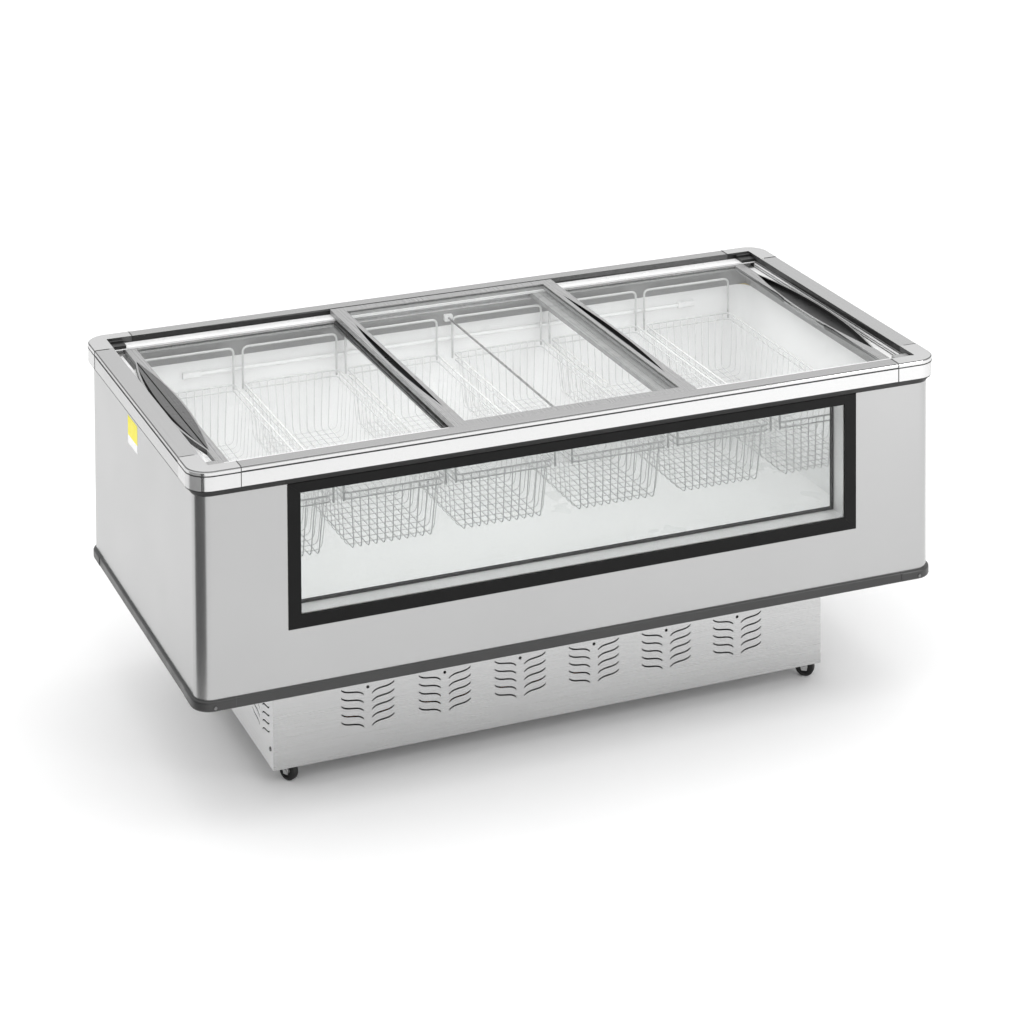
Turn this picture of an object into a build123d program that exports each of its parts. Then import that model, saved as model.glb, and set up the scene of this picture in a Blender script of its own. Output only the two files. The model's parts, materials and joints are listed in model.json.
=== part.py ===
"""Island chest freezer: glass sliding lids, a front window, wire baskets and a machine plinth on casters.

Frame: +X along the long front, -Y towards the customer in front, +Z up.
Origin: centre of the footprint, on the floor.
"""
import os

from build123d import *

os.makedirs("parts", exist_ok=True)

# ---------------------------------------------------------------- driving dimensions (mm)
length = 2000.0            # top frame, outside, along X
depth = 1008.0             # top frame, outside, along Y
height = 882.0             # top of the frame above the floor

body_half_x = 985.0        # painted body, half length
body_half_y = 489.0        # painted body, half depth
body_corner = 40.0
sheet = 1.0                # painted sheet thickness
body_bottom = 304.0
body_top = 846.0

frame_skirt_low = 834.6    # lower edge of the bright fascia
frame_groove_low = 868.0   # shadow groove between fascia and top
frame_groove_high = 871.0
frame_wall = 3.0
frame_corner = 56.0
frame_lip = 4.5            # rounding between groove and top face
rail_inset = 0.8           # rails stand this much inside the corner caps
opening_half_x = 948.0     # top opening, inside the frame
opening_half_y = 464.0
cap_from_x = 880.0         # corner caps cover everything beyond these
cap_from_y = 391.0
seam = 0.3                 # gap at butt joints of trim

tank_half_x = 917.0        # white liner, inside faces
tank_half_y = 421.0
tank_corner = 40.0
tank_floor = 372.0
liner_sheet = 1.5
tank_top = 806.0           # top of the liner, foot of the grey inner frame

lower_track = 848.0        # floor of the slot that the two outer lids slide in
slot_depth = 25.0
upper_track = 865.0        # ledge that the middle lid slides on
ledge_plate = 3.0

window_half_x = 762.0      # black window frame, outside
window_low = 465.6
window_high = 816.8
window_border = 32.5
window_top_border = 24.8
window_proud = 2.0

plinth_half_x = 750.0
plinth_half_y = 325.0
plinth_low = 46.0
panel_sheet = 1.2
base_plate_low = 70.0
base_plate_sheet = 2.5

bumper_low = 304.4
bumper_high = 330.4
bumper_proud = 6.0
bumper_cap_proud = 7.5
bumper_cap_from_x = 894.0
bumper_cap_from_y = 398.0

basket_count = 6
basket_half_x = 135.0      # over the end loops
basket_side_gap = 20.0
basket_centre_gap = 40.0
basket_shift = -15.0       # the row of baskets stands a little left of centre
basket_step = 2 * basket_half_x + basket_side_gap
basket_centres = []
for i in range(basket_count):
    places = i - (basket_count - 1) / 2
    extra = (basket_centre_gap - basket_side_gap) / 2
    apart = extra if places > 0 else -extra
    basket_centres.append(places * basket_step + apart + basket_shift)

glass = 4.5                # lid glass
pane = 4.0                 # window glass
running = 0.05             # radial clearance of a shaft in its hole


def rounded_block(half_x, half_y, corner, low, high):
    """A vertical-sided block with rounded corners, centred on the Z axis."""
    with BuildPart(mode=Mode.PRIVATE) as block:
        with BuildSketch(Plane.XY.offset(low)):
            RectangleRounded(2 * half_x, 2 * half_y, corner)
        extrude(amount=high - low)
    return block.part


def plain_block(x0, x1, y0, y1, z0, z1):
    """A box given by its two corners."""
    with BuildPart(mode=Mode.PRIVATE) as block:
        with Locations(((x0 + x1) / 2, (y0 + y1) / 2, (z0 + z1) / 2)):
            Box(x1 - x0, y1 - y0, z1 - z0)
    return block.part


def tube_along(points, bend, radius):
    """A round bar or pipe that follows straight runs joined by bends."""
    with BuildPart(mode=Mode.PRIVATE) as bar:
        with BuildLine() as path:
            FilletPolyline(*points, radius=bend)
        start = path.line @ 0
        with BuildSketch(Plane(origin=start, z_dir=path.line % 0)):
            Circle(radius)
        sweep()
    return bar.part


# ---------------------------------------------------------------- body: shell, floor, foam, liner
with BuildPart() as outer_shell:
    add(rounded_block(body_half_x, body_half_y, body_corner, body_bottom, body_top))
    add(
        rounded_block(body_half_x - sheet, body_half_y - sheet, body_corner - sheet, body_bottom, body_top),
        mode=Mode.SUBTRACT,
    )
    # cut-out behind the window frame
    cut_half_x = window_half_x - window_border / 2
    cut_low = window_low + window_border / 2
    cut_high = window_high - window_top_border / 2
    add(
        plain_block(-cut_half_x, cut_half_x, -body_half_y - 1, -body_half_y + 5, cut_low, cut_high),
        mode=Mode.SUBTRACT,
    )
outer_shell.part.label = "outer_shell"
export_step(outer_shell.part, "parts/outer_shell.step")

gap = 0.1
inner_x = body_half_x - sheet - gap
inner_y = body_half_y - sheet - gap
inner_corner = body_corner - sheet - gap
floor_top = body_bottom + 1.2
suction_hole = (560.0, 0.0)   # where the suction pipe passes the floor

with BuildPart() as shell_bottom:
    add(rounded_block(inner_x, inner_y, inner_corner, body_bottom, floor_top))
    with Locations((suction_hole[0], suction_hole[1], floor_top)):
        Hole(radius=12)
shell_bottom.part.label = "shell_bottom"
export_step(shell_bottom.part, "parts/shell_bottom.step")

liner_x = tank_half_x + liner_sheet
liner_y = tank_half_y + liner_sheet
liner_corner = tank_corner + liner_sheet
tunnel_half_x = window_half_x - window_border + 3.0    # window tunnel through the front wall
tunnel_low = window_low + window_border - 3.0
tunnel_high = window_high - window_top_border + 3.0
coil_tube = 4.0
coil_band = (376.0, 456.0)

with BuildPart() as insulation:
    add(rounded_block(inner_x, inner_y, inner_corner, floor_top, tank_top))
    add(
        rounded_block(liner_x, liner_y, liner_corner, tank_floor - liner_sheet, tank_top),
        mode=Mode.SUBTRACT,
    )
    # recess for the evaporator tube around the foot of the liner
    add(
        rounded_block(liner_x + 9, liner_y + 9, liner_corner + 9, *coil_band),
        mode=Mode.SUBTRACT,
    )
    add(
        plain_block(
            -tunnel_half_x - 3.2,
            tunnel_half_x + 3.2,
            -body_half_y,
            -tank_half_y + 5,
            tunnel_low - 3.2,
            tunnel_high + 3.2,
        ),
        mode=Mode.SUBTRACT,
    )
    with Locations((suction_hole[0], suction_hole[1], tank_floor)):
        Hole(radius=12)
insulation.part.label = "insulation"
export_step(insulation.part, "parts/insulation.step")

with BuildPart() as inner_liner:
    add(rounded_block(liner_x, liner_y, liner_corner, tank_floor - liner_sheet, tank_top))
    with BuildSketch(Plane.XY.offset(tank_floor)):
        RectangleRounded(2 * tank_half_x, 2 * tank_half_y, tank_corner)
    extrude(amount=tank_top - tank_floor, mode=Mode.SUBTRACT)
    add(
        plain_block(
            -tunnel_half_x, tunnel_half_x, -tank_half_y - 3, -tank_half_y + 3, tunnel_low, tunnel_high
        ),
        mode=Mode.SUBTRACT,
    )
inner_liner.part.label = "inner_liner"
export_step(inner_liner.part, "parts/inner_liner.step")

# evaporator: one tube wound around the foot of the liner
turns = 4
coil_x = liner_x + coil_tube + 0.4
coil_y = liner_y + coil_tube + 0.4
drop = (coil_band[1] - coil_band[0] - 20) / (4 * turns)
corner_order = [(-coil_x, -coil_y), (coil_x, -coil_y), (coil_x, coil_y), (-coil_x, coil_y)]
coil_points = [
    (*corner_order[i % 4], coil_band[1] - 8 - drop * i)
    for i in range(4 * turns)
]
# both ends stop at mid wall
coil_points[0] = (0, -coil_y, coil_points[0][2])
coil_points.append((-coil_x, 0, coil_points[-1][2] - drop / 2))
with BuildPart() as evaporator_coil:
    add(tube_along(coil_points, liner_corner + coil_x - liner_x, coil_tube))
evaporator_coil.part.label = "evaporator_coil"
export_step(evaporator_coil.part, "parts/evaporator_coil.step")


# ---------------------------------------------------------------- top frame
def frame_ring(inset):
    """The aluminium top profile run right round the cabinet, as a hollow skirt under a flat top."""
    half_x = length / 2 - inset
    half_y = depth / 2 - inset
    corner = frame_corner - inset
    top = height - inset / 2
    with BuildPart(mode=Mode.PRIVATE) as ring:
        add(rounded_block(half_x, half_y, corner, frame_groove_high, top))
        fillet(ring.edges().group_by(Axis.Z)[-1], radius=frame_lip)
        add(rounded_block(half_x, half_y, corner, frame_skirt_low, frame_groove_low))
        add(
            rounded_block(
                half_x - frame_wall,
                half_y - frame_wall,
                corner - frame_wall,
                frame_groove_low,
                frame_groove_high,
            )
        )
        # hollow under the top face, open at the bottom
        add(
            rounded_block(
                half_x - frame_wall, half_y - frame_wall, corner - frame_wall, frame_skirt_low, upper_track
            ),
            mode=Mode.SUBTRACT,
        )
        hollow_wall = 2 * frame_wall + 0.5
        with BuildSketch(Plane.XY.offset(upper_track)):
            RectangleRounded(2 * (half_x - hollow_wall), 2 * (half_y - hollow_wall), corner - hollow_wall)
            Rectangle(2 * opening_half_x + 5, 2 * opening_half_y + 5, mode=Mode.SUBTRACT)
        extrude(amount=height - 2.6 - upper_track, mode=Mode.SUBTRACT)
        add(
            rounded_block(opening_half_x, opening_half_y, 2, frame_skirt_low - 1, height + 1),
            mode=Mode.SUBTRACT,
        )
    return ring.part


rail_ring = frame_ring(rail_inset)
cap_ring = frame_ring(0.0)
rail_x = cap_from_x - seam / 2
rail_y = cap_from_y - seam / 2
far = 1.0 + length / 2

with BuildPart() as frame_rails:
    add(rail_ring)
    # leave the four straight runs between the corner caps
    for sx in (-1, 1):
        for sy in (-1, 1):
            x0, x1 = sorted((sx * rail_x, sx * far))
            y0, y1 = sorted((sy * rail_y, sy * far))
            add(plain_block(x0, x1, y0, y1, 0, height + 1), mode=Mode.SUBTRACT)
frame_rails.part.label = "frame_rails"
export_step(frame_rails.part, "parts/frame_rails.step")

with BuildPart() as frame_corner_caps:
    add(cap_ring)
    add(plain_block(-cap_from_x, cap_from_x, -far, far, 0, height + 1), mode=Mode.SUBTRACT)
    add(plain_block(-far, far, -cap_from_y, cap_from_y, 0, height + 1), mode=Mode.SUBTRACT)
frame_corner_caps.part.label = "frame_corner_caps"
export_step(frame_corner_caps.part, "parts/frame_corner_caps.step")

# black gasket that closes the step between fascia and body
gasket_x = length / 2 - rail_inset - frame_wall - 0.3
gasket_y = depth / 2 - rail_inset - frame_wall - 0.3
gasket_low = 817.0
with BuildPart() as fascia_gasket:
    with BuildSketch(Plane.XY.offset(gasket_low)):
        RectangleRounded(2 * body_half_x + 1, 2 * body_half_y + 1, body_corner + 0.5)
    with BuildSketch(Plane.XY.offset(frame_skirt_low)):
        RectangleRounded(2 * gasket_x, 2 * gasket_y, frame_corner - 4)
    loft()
    add(rounded_block(gasket_x, gasket_y, frame_corner - 4, frame_skirt_low, body_top))
    add(
        rounded_block(body_half_x + 0.05, body_half_y + 0.05, body_corner + 0.05, gasket_low, body_top),
        mode=Mode.SUBTRACT,
    )
fascia_gasket.part.label = "fascia_gasket"
export_step(fascia_gasket.part, "parts/fascia_gasket.step")

# grey inner frame: foot of the opening, slot of the outer lids, ledge of the middle lid
slot_half_y = tank_half_y + slot_depth
slot_half_x = 945.0
ledge_low = upper_track - ledge_plate
basket_rest_top = 828.95
basket_rest_reach = 17.5
basket_rest_half = 105.0
with BuildPart() as inner_frame:
    add(rounded_block(inner_x, inner_y, inner_corner, tank_top, upper_track))
    # tank mouth
    add(
        rounded_block(tank_half_x, tank_half_y, 3, tank_top, lower_track),
        mode=Mode.SUBTRACT,
    )
    # slot of the lower lids
    add(
        plain_block(-slot_half_x, slot_half_x, -slot_half_y, slot_half_y, lower_track, ledge_low),
        mode=Mode.SUBTRACT,
    )
    # between the two upper ledges
    add(
        plain_block(-slot_half_x, slot_half_x, -tank_half_y, tank_half_y, ledge_low, upper_track),
        mode=Mode.SUBTRACT,
    )
    # two rests for each basket, between the legs of its loops
    for centre in basket_centres:
        x0 = centre - basket_rest_half
        x1 = centre + basket_rest_half
        for side in (-1, 1):
            y0, y1 = sorted((side * (tank_half_y - basket_rest_reach), side * (tank_half_y + 1)))
            add(plain_block(x0, x1, y0, y1, basket_rest_top - 3, basket_rest_top))
inner_frame.part.label = "inner_frame"
export_step(inner_frame.part, "parts/inner_frame.step")

# white slide strips on the ledges and white liners at both ends of the lower track
stop_from_x = 905.0
strip = 1.0
with BuildPart() as track_strips:
    for side in (-1, 1):
        for y0, y1 in ((tank_half_y + 1.5, 446.5), (448.5, opening_half_y - 1.5)):
            low, high = sorted((side * y0, side * y1))
            add(plain_block(-stop_from_x, stop_from_x, low, high, upper_track, upper_track + strip))
        inner, outer = sorted((side * (slot_half_x - 0.1), side * (slot_half_x - 0.1 - strip)))
        add(plain_block(inner, outer, -420, 420, lower_track, ledge_low - 0.1))
        inner, outer = sorted((side * (tank_half_x + 0.5), side * (slot_half_x - 0.1 - strip)))
        add(plain_block(inner, outer, -415, 415, lower_track, lower_track + 0.05 + strip / 2))
track_strips.part.label = "track_strips"
export_step(track_strips.part, "parts/track_strips.step")

# black blocks that close the upper track at its four corners
with BuildPart() as track_end_stops:
    for sx in (-1, 1):
        for sy in (-1, 1):
            x0, x1 = sorted((sx * (stop_from_x + 0.2), sx * (opening_half_x - 0.8)))
            y0, y1 = sorted((sy * (tank_half_y + 1), sy * (opening_half_y - 0.8)))
            add(plain_block(x0, x1, y0, y1, upper_track, upper_track + 8))
            y0, y1 = sorted((sy * (opening_half_y - 14), sy * (opening_half_y - 0.8)))
            add(plain_block(x0, x1, y0, y1, upper_track, upper_track + 12.5))
track_end_stops.part.label = "track_end_stops"
export_step(track_end_stops.part, "parts/track_end_stops.step")

# ---------------------------------------------------------------- front window
front = -body_half_y
opening_x = window_half_x - window_border
opening_low = window_low + window_border
opening_high = window_high - window_top_border
pane_back = front + 8.0        # inner face of the outer pane
inner_pane_front = -tank_half_y - 6.0


def window_corner_outline():
    """Outer and inner rectangles of the window border, drawn on the front face."""
    middle = (window_low + window_high) / 2
    with Locations((0, middle)):
        Rectangle(2 * window_half_x, window_high - window_low)
    middle = (opening_low + opening_high) / 2
    with Locations((0, middle)):
        Rectangle(2 * opening_x, opening_high - opening_low, mode=Mode.SUBTRACT)


with BuildPart() as window_frame:
    with BuildSketch(Plane.XZ.offset(body_half_y)):
        window_corner_outline()
    extrude(amount=window_proud)
    chamfer(window_frame.edges().group_by(Axis.Y)[0], length=0.6)
    # lip that holds the outer pane
    middle_z = (opening_low + opening_high) / 2
    lip_x = opening_x + 3.0
    with BuildSketch(Plane.XZ.offset(body_half_y)):
        with Locations((0, middle_z)):
            Rectangle(2 * lip_x, opening_high - opening_low + 6)
            Rectangle(2 * opening_x, opening_high - opening_low, mode=Mode.SUBTRACT)
    extrude(amount=-3.9)
    # mitred joints at the four corners
    for sx in (-1, 1):
        for low in (True, False):
            corner_z = window_low if low else window_high
            inner_z = opening_low if low else opening_high
            with BuildSketch(Plane.XZ.offset(body_half_y - 5)):
                with BuildLine():
                    Polyline(
                        (sx * (window_half_x + 1), corner_z + (-1 if low else 1)),
                        (sx * (window_half_x + 1) - sx * 0.25, corner_z + (-1 if low else 1)),
                        (sx * (opening_x - 1), inner_z + (1 if low else -1)),
                        (sx * (opening_x - 1) + sx * 0.25, inner_z + (1 if low else -1)),
                        close=True,
                    )
                make_face()
            extrude(amount=8, mode=Mode.SUBTRACT)
window_frame.part.label = "window_frame"
export_step(window_frame.part, "parts/window_frame.step")

with BuildPart() as window_outer_pane:
    add(
        plain_block(
            -lip_x, lip_x, pane_back - pane, pane_back, opening_low - 3, opening_high + 3
        )
    )
window_outer_pane.part.label = "window_outer_pane"
export_step(window_outer_pane.part, "parts/window_outer_pane.step")

with BuildPart() as window_spacer:
    add(
        plain_block(
            -lip_x, lip_x, pane_back + 0.1, inner_pane_front - 4.1, opening_low - 3, opening_high + 3
        )
    )
    add(
        plain_block(
            -opening_x, opening_x, pane_back, inner_pane_front, opening_low, opening_high
        ),
        mode=Mode.SUBTRACT,
    )
window_spacer.part.label = "window_spacer"
export_step(window_spacer.part, "parts/window_spacer.step")

with BuildPart() as window_gasket:
    add(
        plain_block(
            -lip_x,
            lip_x,
            inner_pane_front - 4,
            inner_pane_front + pane + 1,
            opening_low - 3,
            opening_high + 3,
        )
    )
    add(
        plain_block(
            -opening_x + 6,
            opening_x - 6,
            inner_pane_front - 5,
            inner_pane_front + 9,
            opening_low + 6,
            opening_high - 6,
        ),
        mode=Mode.SUBTRACT,
    )
    add(
        plain_block(
            -opening_x, opening_x, inner_pane_front, inner_pane_front + pane, opening_low, opening_high
        ),
        mode=Mode.SUBTRACT,
    )
window_gasket.part.label = "window_gasket"
export_step(window_gasket.part, "parts/window_gasket.step")

with BuildPart() as window_inner_pane:
    add(
        plain_block(
            -opening_x + gap,
            opening_x - gap,
            inner_pane_front + gap,
            inner_pane_front + pane - gap,
            opening_low + gap,
            opening_high - gap,
        )
    )
window_inner_pane.part.label = "window_inner_pane"
export_step(window_inner_pane.part, "parts/window_inner_pane.step")


# ---------------------------------------------------------------- bumper round the foot of the body
def bumper_ring(proud):
    """Soft-edged plastic band around the body."""
    with BuildPart(mode=Mode.PRIVATE) as ring:
        add(
            rounded_block(
                body_half_x + proud, body_half_y + proud, body_corner + proud, bumper_low, bumper_high
            )
        )
        fillet(ring.edges().group_by(Axis.Z)[-1], radius=proud - 1.5)
        fillet(ring.edges().group_by(Axis.Z)[0], radius=proud - 1.5)
        add(
            rounded_block(
                body_half_x + 0.05, body_half_y + 0.05, body_corner + 0.05, bumper_low - 1, bumper_high + 1
            ),
            mode=Mode.SUBTRACT,
        )
    return ring.part


with BuildPart() as bumper_rails:
    add(bumper_ring(bumper_proud))
    for sx in (-1, 1):
        for sy in (-1, 1):
            x0, x1 = sorted((sx * (bumper_cap_from_x - seam), sx * far))
            y0, y1 = sorted((sy * (bumper_cap_from_y - seam), sy * far))
            add(plain_block(x0, x1, y0, y1, 200, 400), mode=Mode.SUBTRACT)
bumper_rails.part.label = "bumper_rails"
export_step(bumper_rails.part, "parts/bumper_rails.step")

screw_r = 2.0
screw_x = 945.0
screw_z = 314.5
with BuildPart() as bumper_corner_caps:
    add(bumper_ring(bumper_cap_proud))
    add(plain_block(-bumper_cap_from_x, bumper_cap_from_x, -far, far, 200, 400), mode=Mode.SUBTRACT)
    add(plain_block(-far, far, -bumper_cap_from_y, bumper_cap_from_y, 200, 400), mode=Mode.SUBTRACT)
    for sy in (-1, 1):
        with Locations(
            Plane.XZ.offset(-sy * (body_half_y + 4)) * Location((screw_x, screw_z, 0)),
            Plane.XZ.offset(-sy * (body_half_y + 4)) * Location((-screw_x, screw_z, 0)),
        ):
            Cylinder(radius=screw_r + 0.05, height=12, mode=Mode.SUBTRACT)
bumper_corner_caps.part.label = "bumper_corner_caps"
export_step(bumper_corner_caps.part, "parts/bumper_corner_caps.step")

# ---------------------------------------------------------------- plinth
vent_groups = 6
vent_pitch = 202.5
slot_length = 58.0
slot_height = 4.0
slot_rise = 20.5          # how much higher a slot's outer end is
slot_rows = 5
row_pitch = 20.2
top_row = 203.5
column_offset = 40.0      # slot centre to group centre
dot_z = 210.5
dot_r = 4.0
panel_screw_y = 304.0
panel_screw_z = 92.0
panel_screw_r = 2.5


def vent_slot(side):
    """One wave-shaped slot about its own centre; side is +1 where the outer end is on the right."""
    half = slot_length / 2
    wave = [(-half, -0.5), (-0.66 * half, -0.16), (0.45 * half, 0.11), (half, 0.5)]
    upper = [(side * u, rise * slot_rise + slot_height / 2) for u, rise in wave]
    lower = [(u, v - slot_height) for u, v in upper]
    with BuildSketch(mode=Mode.PRIVATE) as slot:
        with BuildLine():
            Spline(*upper)
            Line(upper[-1], lower[-1])
            Spline(*reversed(lower))
            Line(lower[0], upper[0])
        make_face()
    return slot.sketch


def vent_group(sideways):
    """Two columns of wave-shaped slots and one round hole, drawn about the local vertical line."""
    with BuildSketch(mode=Mode.PRIVATE) as group:
        for side in (-1, 1):
            slot = vent_slot(side)
            for row in range(slot_rows):
                place = (sideways + side * column_offset, top_row - row * row_pitch, 0)
                add(slot.moved(Location(place)))
        with Locations((sideways, dot_z)):
            Circle(dot_r)
    return group.sketch


group_centres = [(i - (vent_groups - 1) / 2) * vent_pitch for i in range(vent_groups)]
side_group = 228.0
flange = 34.0
flange_outer = plinth_half_x - panel_sheet - 0.1

with BuildPart() as plinth_front_panel:
    with BuildSketch(Plane.XZ.offset(plinth_half_y)):
        with Locations((0, (plinth_low + body_bottom) / 2)):
            Rectangle(2 * plinth_half_x, body_bottom - plinth_low)
    extrude(amount=-panel_sheet)
    for sx in (-1, 1):
        x0, x1 = sorted((sx * flange_outer, sx * (flange_outer - panel_sheet)))
        add(plain_block(x0, x1, -plinth_half_y, -plinth_half_y + flange, plinth_low, body_bottom))
    with BuildSketch(Plane.XZ.offset(plinth_half_y + 1)):
        for centre in group_centres:
            add(vent_group(centre))
    extrude(amount=-4, mode=Mode.SUBTRACT)
    with Locations(Plane.YZ * Location((-panel_screw_y, panel_screw_z, 0))):
        Cylinder(radius=panel_screw_r + 0.05, height=2 * plinth_half_x, mode=Mode.SUBTRACT)
plinth_front_panel.part.label = "plinth_front_panel"
export_step(plinth_front_panel.part, "parts/plinth_front_panel.step")

cord_x = 640.0
cord_z = 120.0
with BuildPart() as plinth_rear_panel:
    with BuildSketch(Plane.XZ.offset(-plinth_half_y)):
        with Locations((0, (plinth_low + body_bottom) / 2)):
            Rectangle(2 * plinth_half_x, body_bottom - plinth_low)
    extrude(amount=panel_sheet)
    for sx in (-1, 1):
        x0, x1 = sorted((sx * flange_outer, sx * (flange_outer - panel_sheet)))
        add(plain_block(x0, x1, plinth_half_y - flange, plinth_half_y, plinth_low, body_bottom))
    with BuildSketch(Plane.XZ.offset(-plinth_half_y - 1)):
        for centre in group_centres:
            add(vent_group(centre))
        with Locations((cord_x, cord_z)):
            Circle(10)
    extrude(amount=4, mode=Mode.SUBTRACT)
    with Locations(Plane.YZ * Location((panel_screw_y, panel_screw_z, 0))):
        Cylinder(radius=panel_screw_r + 0.05, height=2 * plinth_half_x, mode=Mode.SUBTRACT)
plinth_rear_panel.part.label = "plinth_rear_panel"
export_step(plinth_rear_panel.part, "parts/plinth_rear_panel.step")

# control box on the right-hand end
control_y = 60.0
control_z = 175.0
control_w = 150.0
control_h = 70.0
control_d = 46.0
side_length = plinth_half_y - panel_sheet - 0.1
with BuildPart() as plinth_end_panels:
    for sx in (-1, 1):
        x0, x1 = sorted((sx * plinth_half_x, sx * (plinth_half_x - panel_sheet)))
        add(plain_block(x0, x1, -side_length, side_length, plinth_low, body_bottom))
    with BuildSketch(Plane.YZ.offset(-plinth_half_x - 1)):
        add(vent_group(-side_group))
    extrude(amount=2 * plinth_half_x + 2, mode=Mode.SUBTRACT)
    for y in (-panel_screw_y, panel_screw_y):
        with Locations(Plane.YZ * Location((y, panel_screw_z, 0))):
            Cylinder(radius=panel_screw_r + 0.05, height=2 * plinth_half_x + 2, mode=Mode.SUBTRACT)
    add(
        plain_block(
            plinth_half_x - 5,
            plinth_half_x + 5,
            control_y - control_w / 2 - 0.2,
            control_y + control_w / 2 + 0.2,
            control_z - control_h / 2 - 0.2,
            control_z + control_h / 2 + 0.2,
        ),
        mode=Mode.SUBTRACT,
    )
plinth_end_panels.part.label = "plinth_end_panels"
export_step(plinth_end_panels.part, "parts/plinth_end_panels.step")

base_half_x = plinth_half_x - 2 * panel_sheet - 0.3
base_half_y = plinth_half_y - panel_sheet - 0.1
base_top = base_plate_low + base_plate_sheet
caster_x = 710.0
caster_y = 272.0
compressor_at = (330.0, 20.0)
with BuildPart() as plinth_base_plate:
    add(plain_block(-base_half_x, base_half_x, -base_half_y, base_half_y, base_plate_low, base_top))
    # turned-up edges
    for sy in (-1, 1):
        y0, y1 = sorted((sy * base_half_y, sy * (base_half_y - base_plate_sheet)))
        add(plain_block(-base_half_x, base_half_x, y0, y1, base_plate_low, base_top + 20))
    # air openings under the condenser
    with Locations((-520, 0, base_top)):
        with GridLocations(40, 60, 3, 4):
            Hole(radius=12)
plinth_base_plate.part.label = "plinth_base_plate"
export_step(plinth_base_plate.part, "parts/plinth_base_plate.step")

# screws of the bumper caps and of the plinth ends
with BuildPart() as cabinet_screws:
    for sx in (-1, 1):
        for sy in (-1, 1):
            head_y = sy * (body_half_y + bumper_cap_proud)
            with Locations(Plane((sx * screw_x, head_y, screw_z), z_dir=(0, sy, 0))):
                Cylinder(3.8, 1.8, align=(Align.CENTER, Align.CENTER, Align.MIN))
                Cylinder(screw_r, 6.5, align=(Align.CENTER, Align.CENTER, Align.MAX))
            with Locations(Plane((sx * plinth_half_x, sy * panel_screw_y, panel_screw_z), z_dir=(sx, 0, 0))):
                Cylinder(5.5, 3.5, align=(Align.CENTER, Align.CENTER, Align.MIN))
                Cylinder(panel_screw_r, 8, align=(Align.CENTER, Align.CENTER, Align.MAX))
    outer_rings = cabinet_screws.edges().filter_by(GeomType.CIRCLE)
    fillet(outer_rings.filter_by(lambda e: e.radius > 5 and abs(e.center().X) > plinth_half_x + 2), radius=2)
cabinet_screws.part.label = "cabinet_screws"
export_step(cabinet_screws.part, "parts/cabinet_screws.step")

# ---------------------------------------------------------------- machine compartment
foot_z = base_top
with BuildPart() as compressor:
    # welded steel pot
    with BuildSketch(Plane.XY.offset(foot_z + 14)):
        with Locations(compressor_at):
            Ellipse(105, 78)
    extrude(amount=165)
    fillet(compressor.edges().group_by(Axis.Z)[-1], radius=32)
    fillet(compressor.edges().group_by(Axis.Z)[0], radius=20)
    # weld band
    with BuildSketch(Plane.XY.offset(foot_z + 92)):
        with Locations(compressor_at):
            Ellipse(109, 82)
    extrude(amount=6)
    # mounting foot
    with BuildSketch(Plane.XY.offset(foot_z + 12)):
        with Locations(compressor_at):
            RectangleRounded(230, 140, 18)
            with GridLocations(190, 100, 2, 2):
                Circle(8.2, mode=Mode.SUBTRACT)
    extrude(amount=4)
    # terminal cover
    with Locations((compressor_at[0], compressor_at[1] - 84, foot_z + 70)):
        Box(60, 30, 55)
    # stub pipes
    for dx in (-30, 30):
        with Locations((compressor_at[0] + dx, compressor_at[1], foot_z + 14 + 165)):
            Cylinder(6, 14)
compressor.part.label = "compressor"
export_step(compressor.part, "parts/compressor.step")

with BuildPart() as compressor_grommets:
    with Locations((compressor_at[0], compressor_at[1], foot_z)):
        with GridLocations(190, 100, 2, 2):
            Cylinder(13, 11.9, align=(Align.CENTER, Align.CENTER, Align.MIN))
            Cylinder(8, 19, align=(Align.CENTER, Align.CENTER, Align.MIN))
compressor_grommets.part.label = "compressor_grommets"
export_step(compressor_grommets.part, "parts/compressor_grommets.step")

# condenser: a serpentine tube through a stack of fins
condenser_x = -560.0
passes = 6
pass_pitch = 32.0
first_pass = 104.0
fin_count = 26
fin_pitch = 14.0
tube_r = 4.5
run_half = 195.0
serpentine = []
for i in range(passes):
    z = first_pass + i * pass_pitch
    ends = (-run_half, run_half) if i % 2 == 0 else (run_half, -run_half)
    serpentine += [(condenser_x, ends[0], z), (condenser_x, ends[1], z)]
with BuildPart() as condenser:
    fin_low = first_pass - 22
    fin_high = first_pass + (passes - 1) * pass_pitch + 22
    with BuildSketch(Plane.XZ.offset(fin_pitch * (fin_count - 1) / 2)):
        with Locations((condenser_x, (fin_low + fin_high) / 2)):
            Rectangle(56, fin_high - fin_low)
            with GridLocations(0, pass_pitch, 1, passes):
                Circle(tube_r + running, mode=Mode.SUBTRACT)
    extrude(amount=0.6)
    one_fin = condenser.part
    for i in range(1, fin_count):
        add(one_fin.moved(Location((0, i * fin_pitch, 0))))
    add(tube_along(serpentine, 15.9, tube_r))
condenser.part.label = "condenser"
export_step(condenser.part, "parts/condenser.step")

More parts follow.
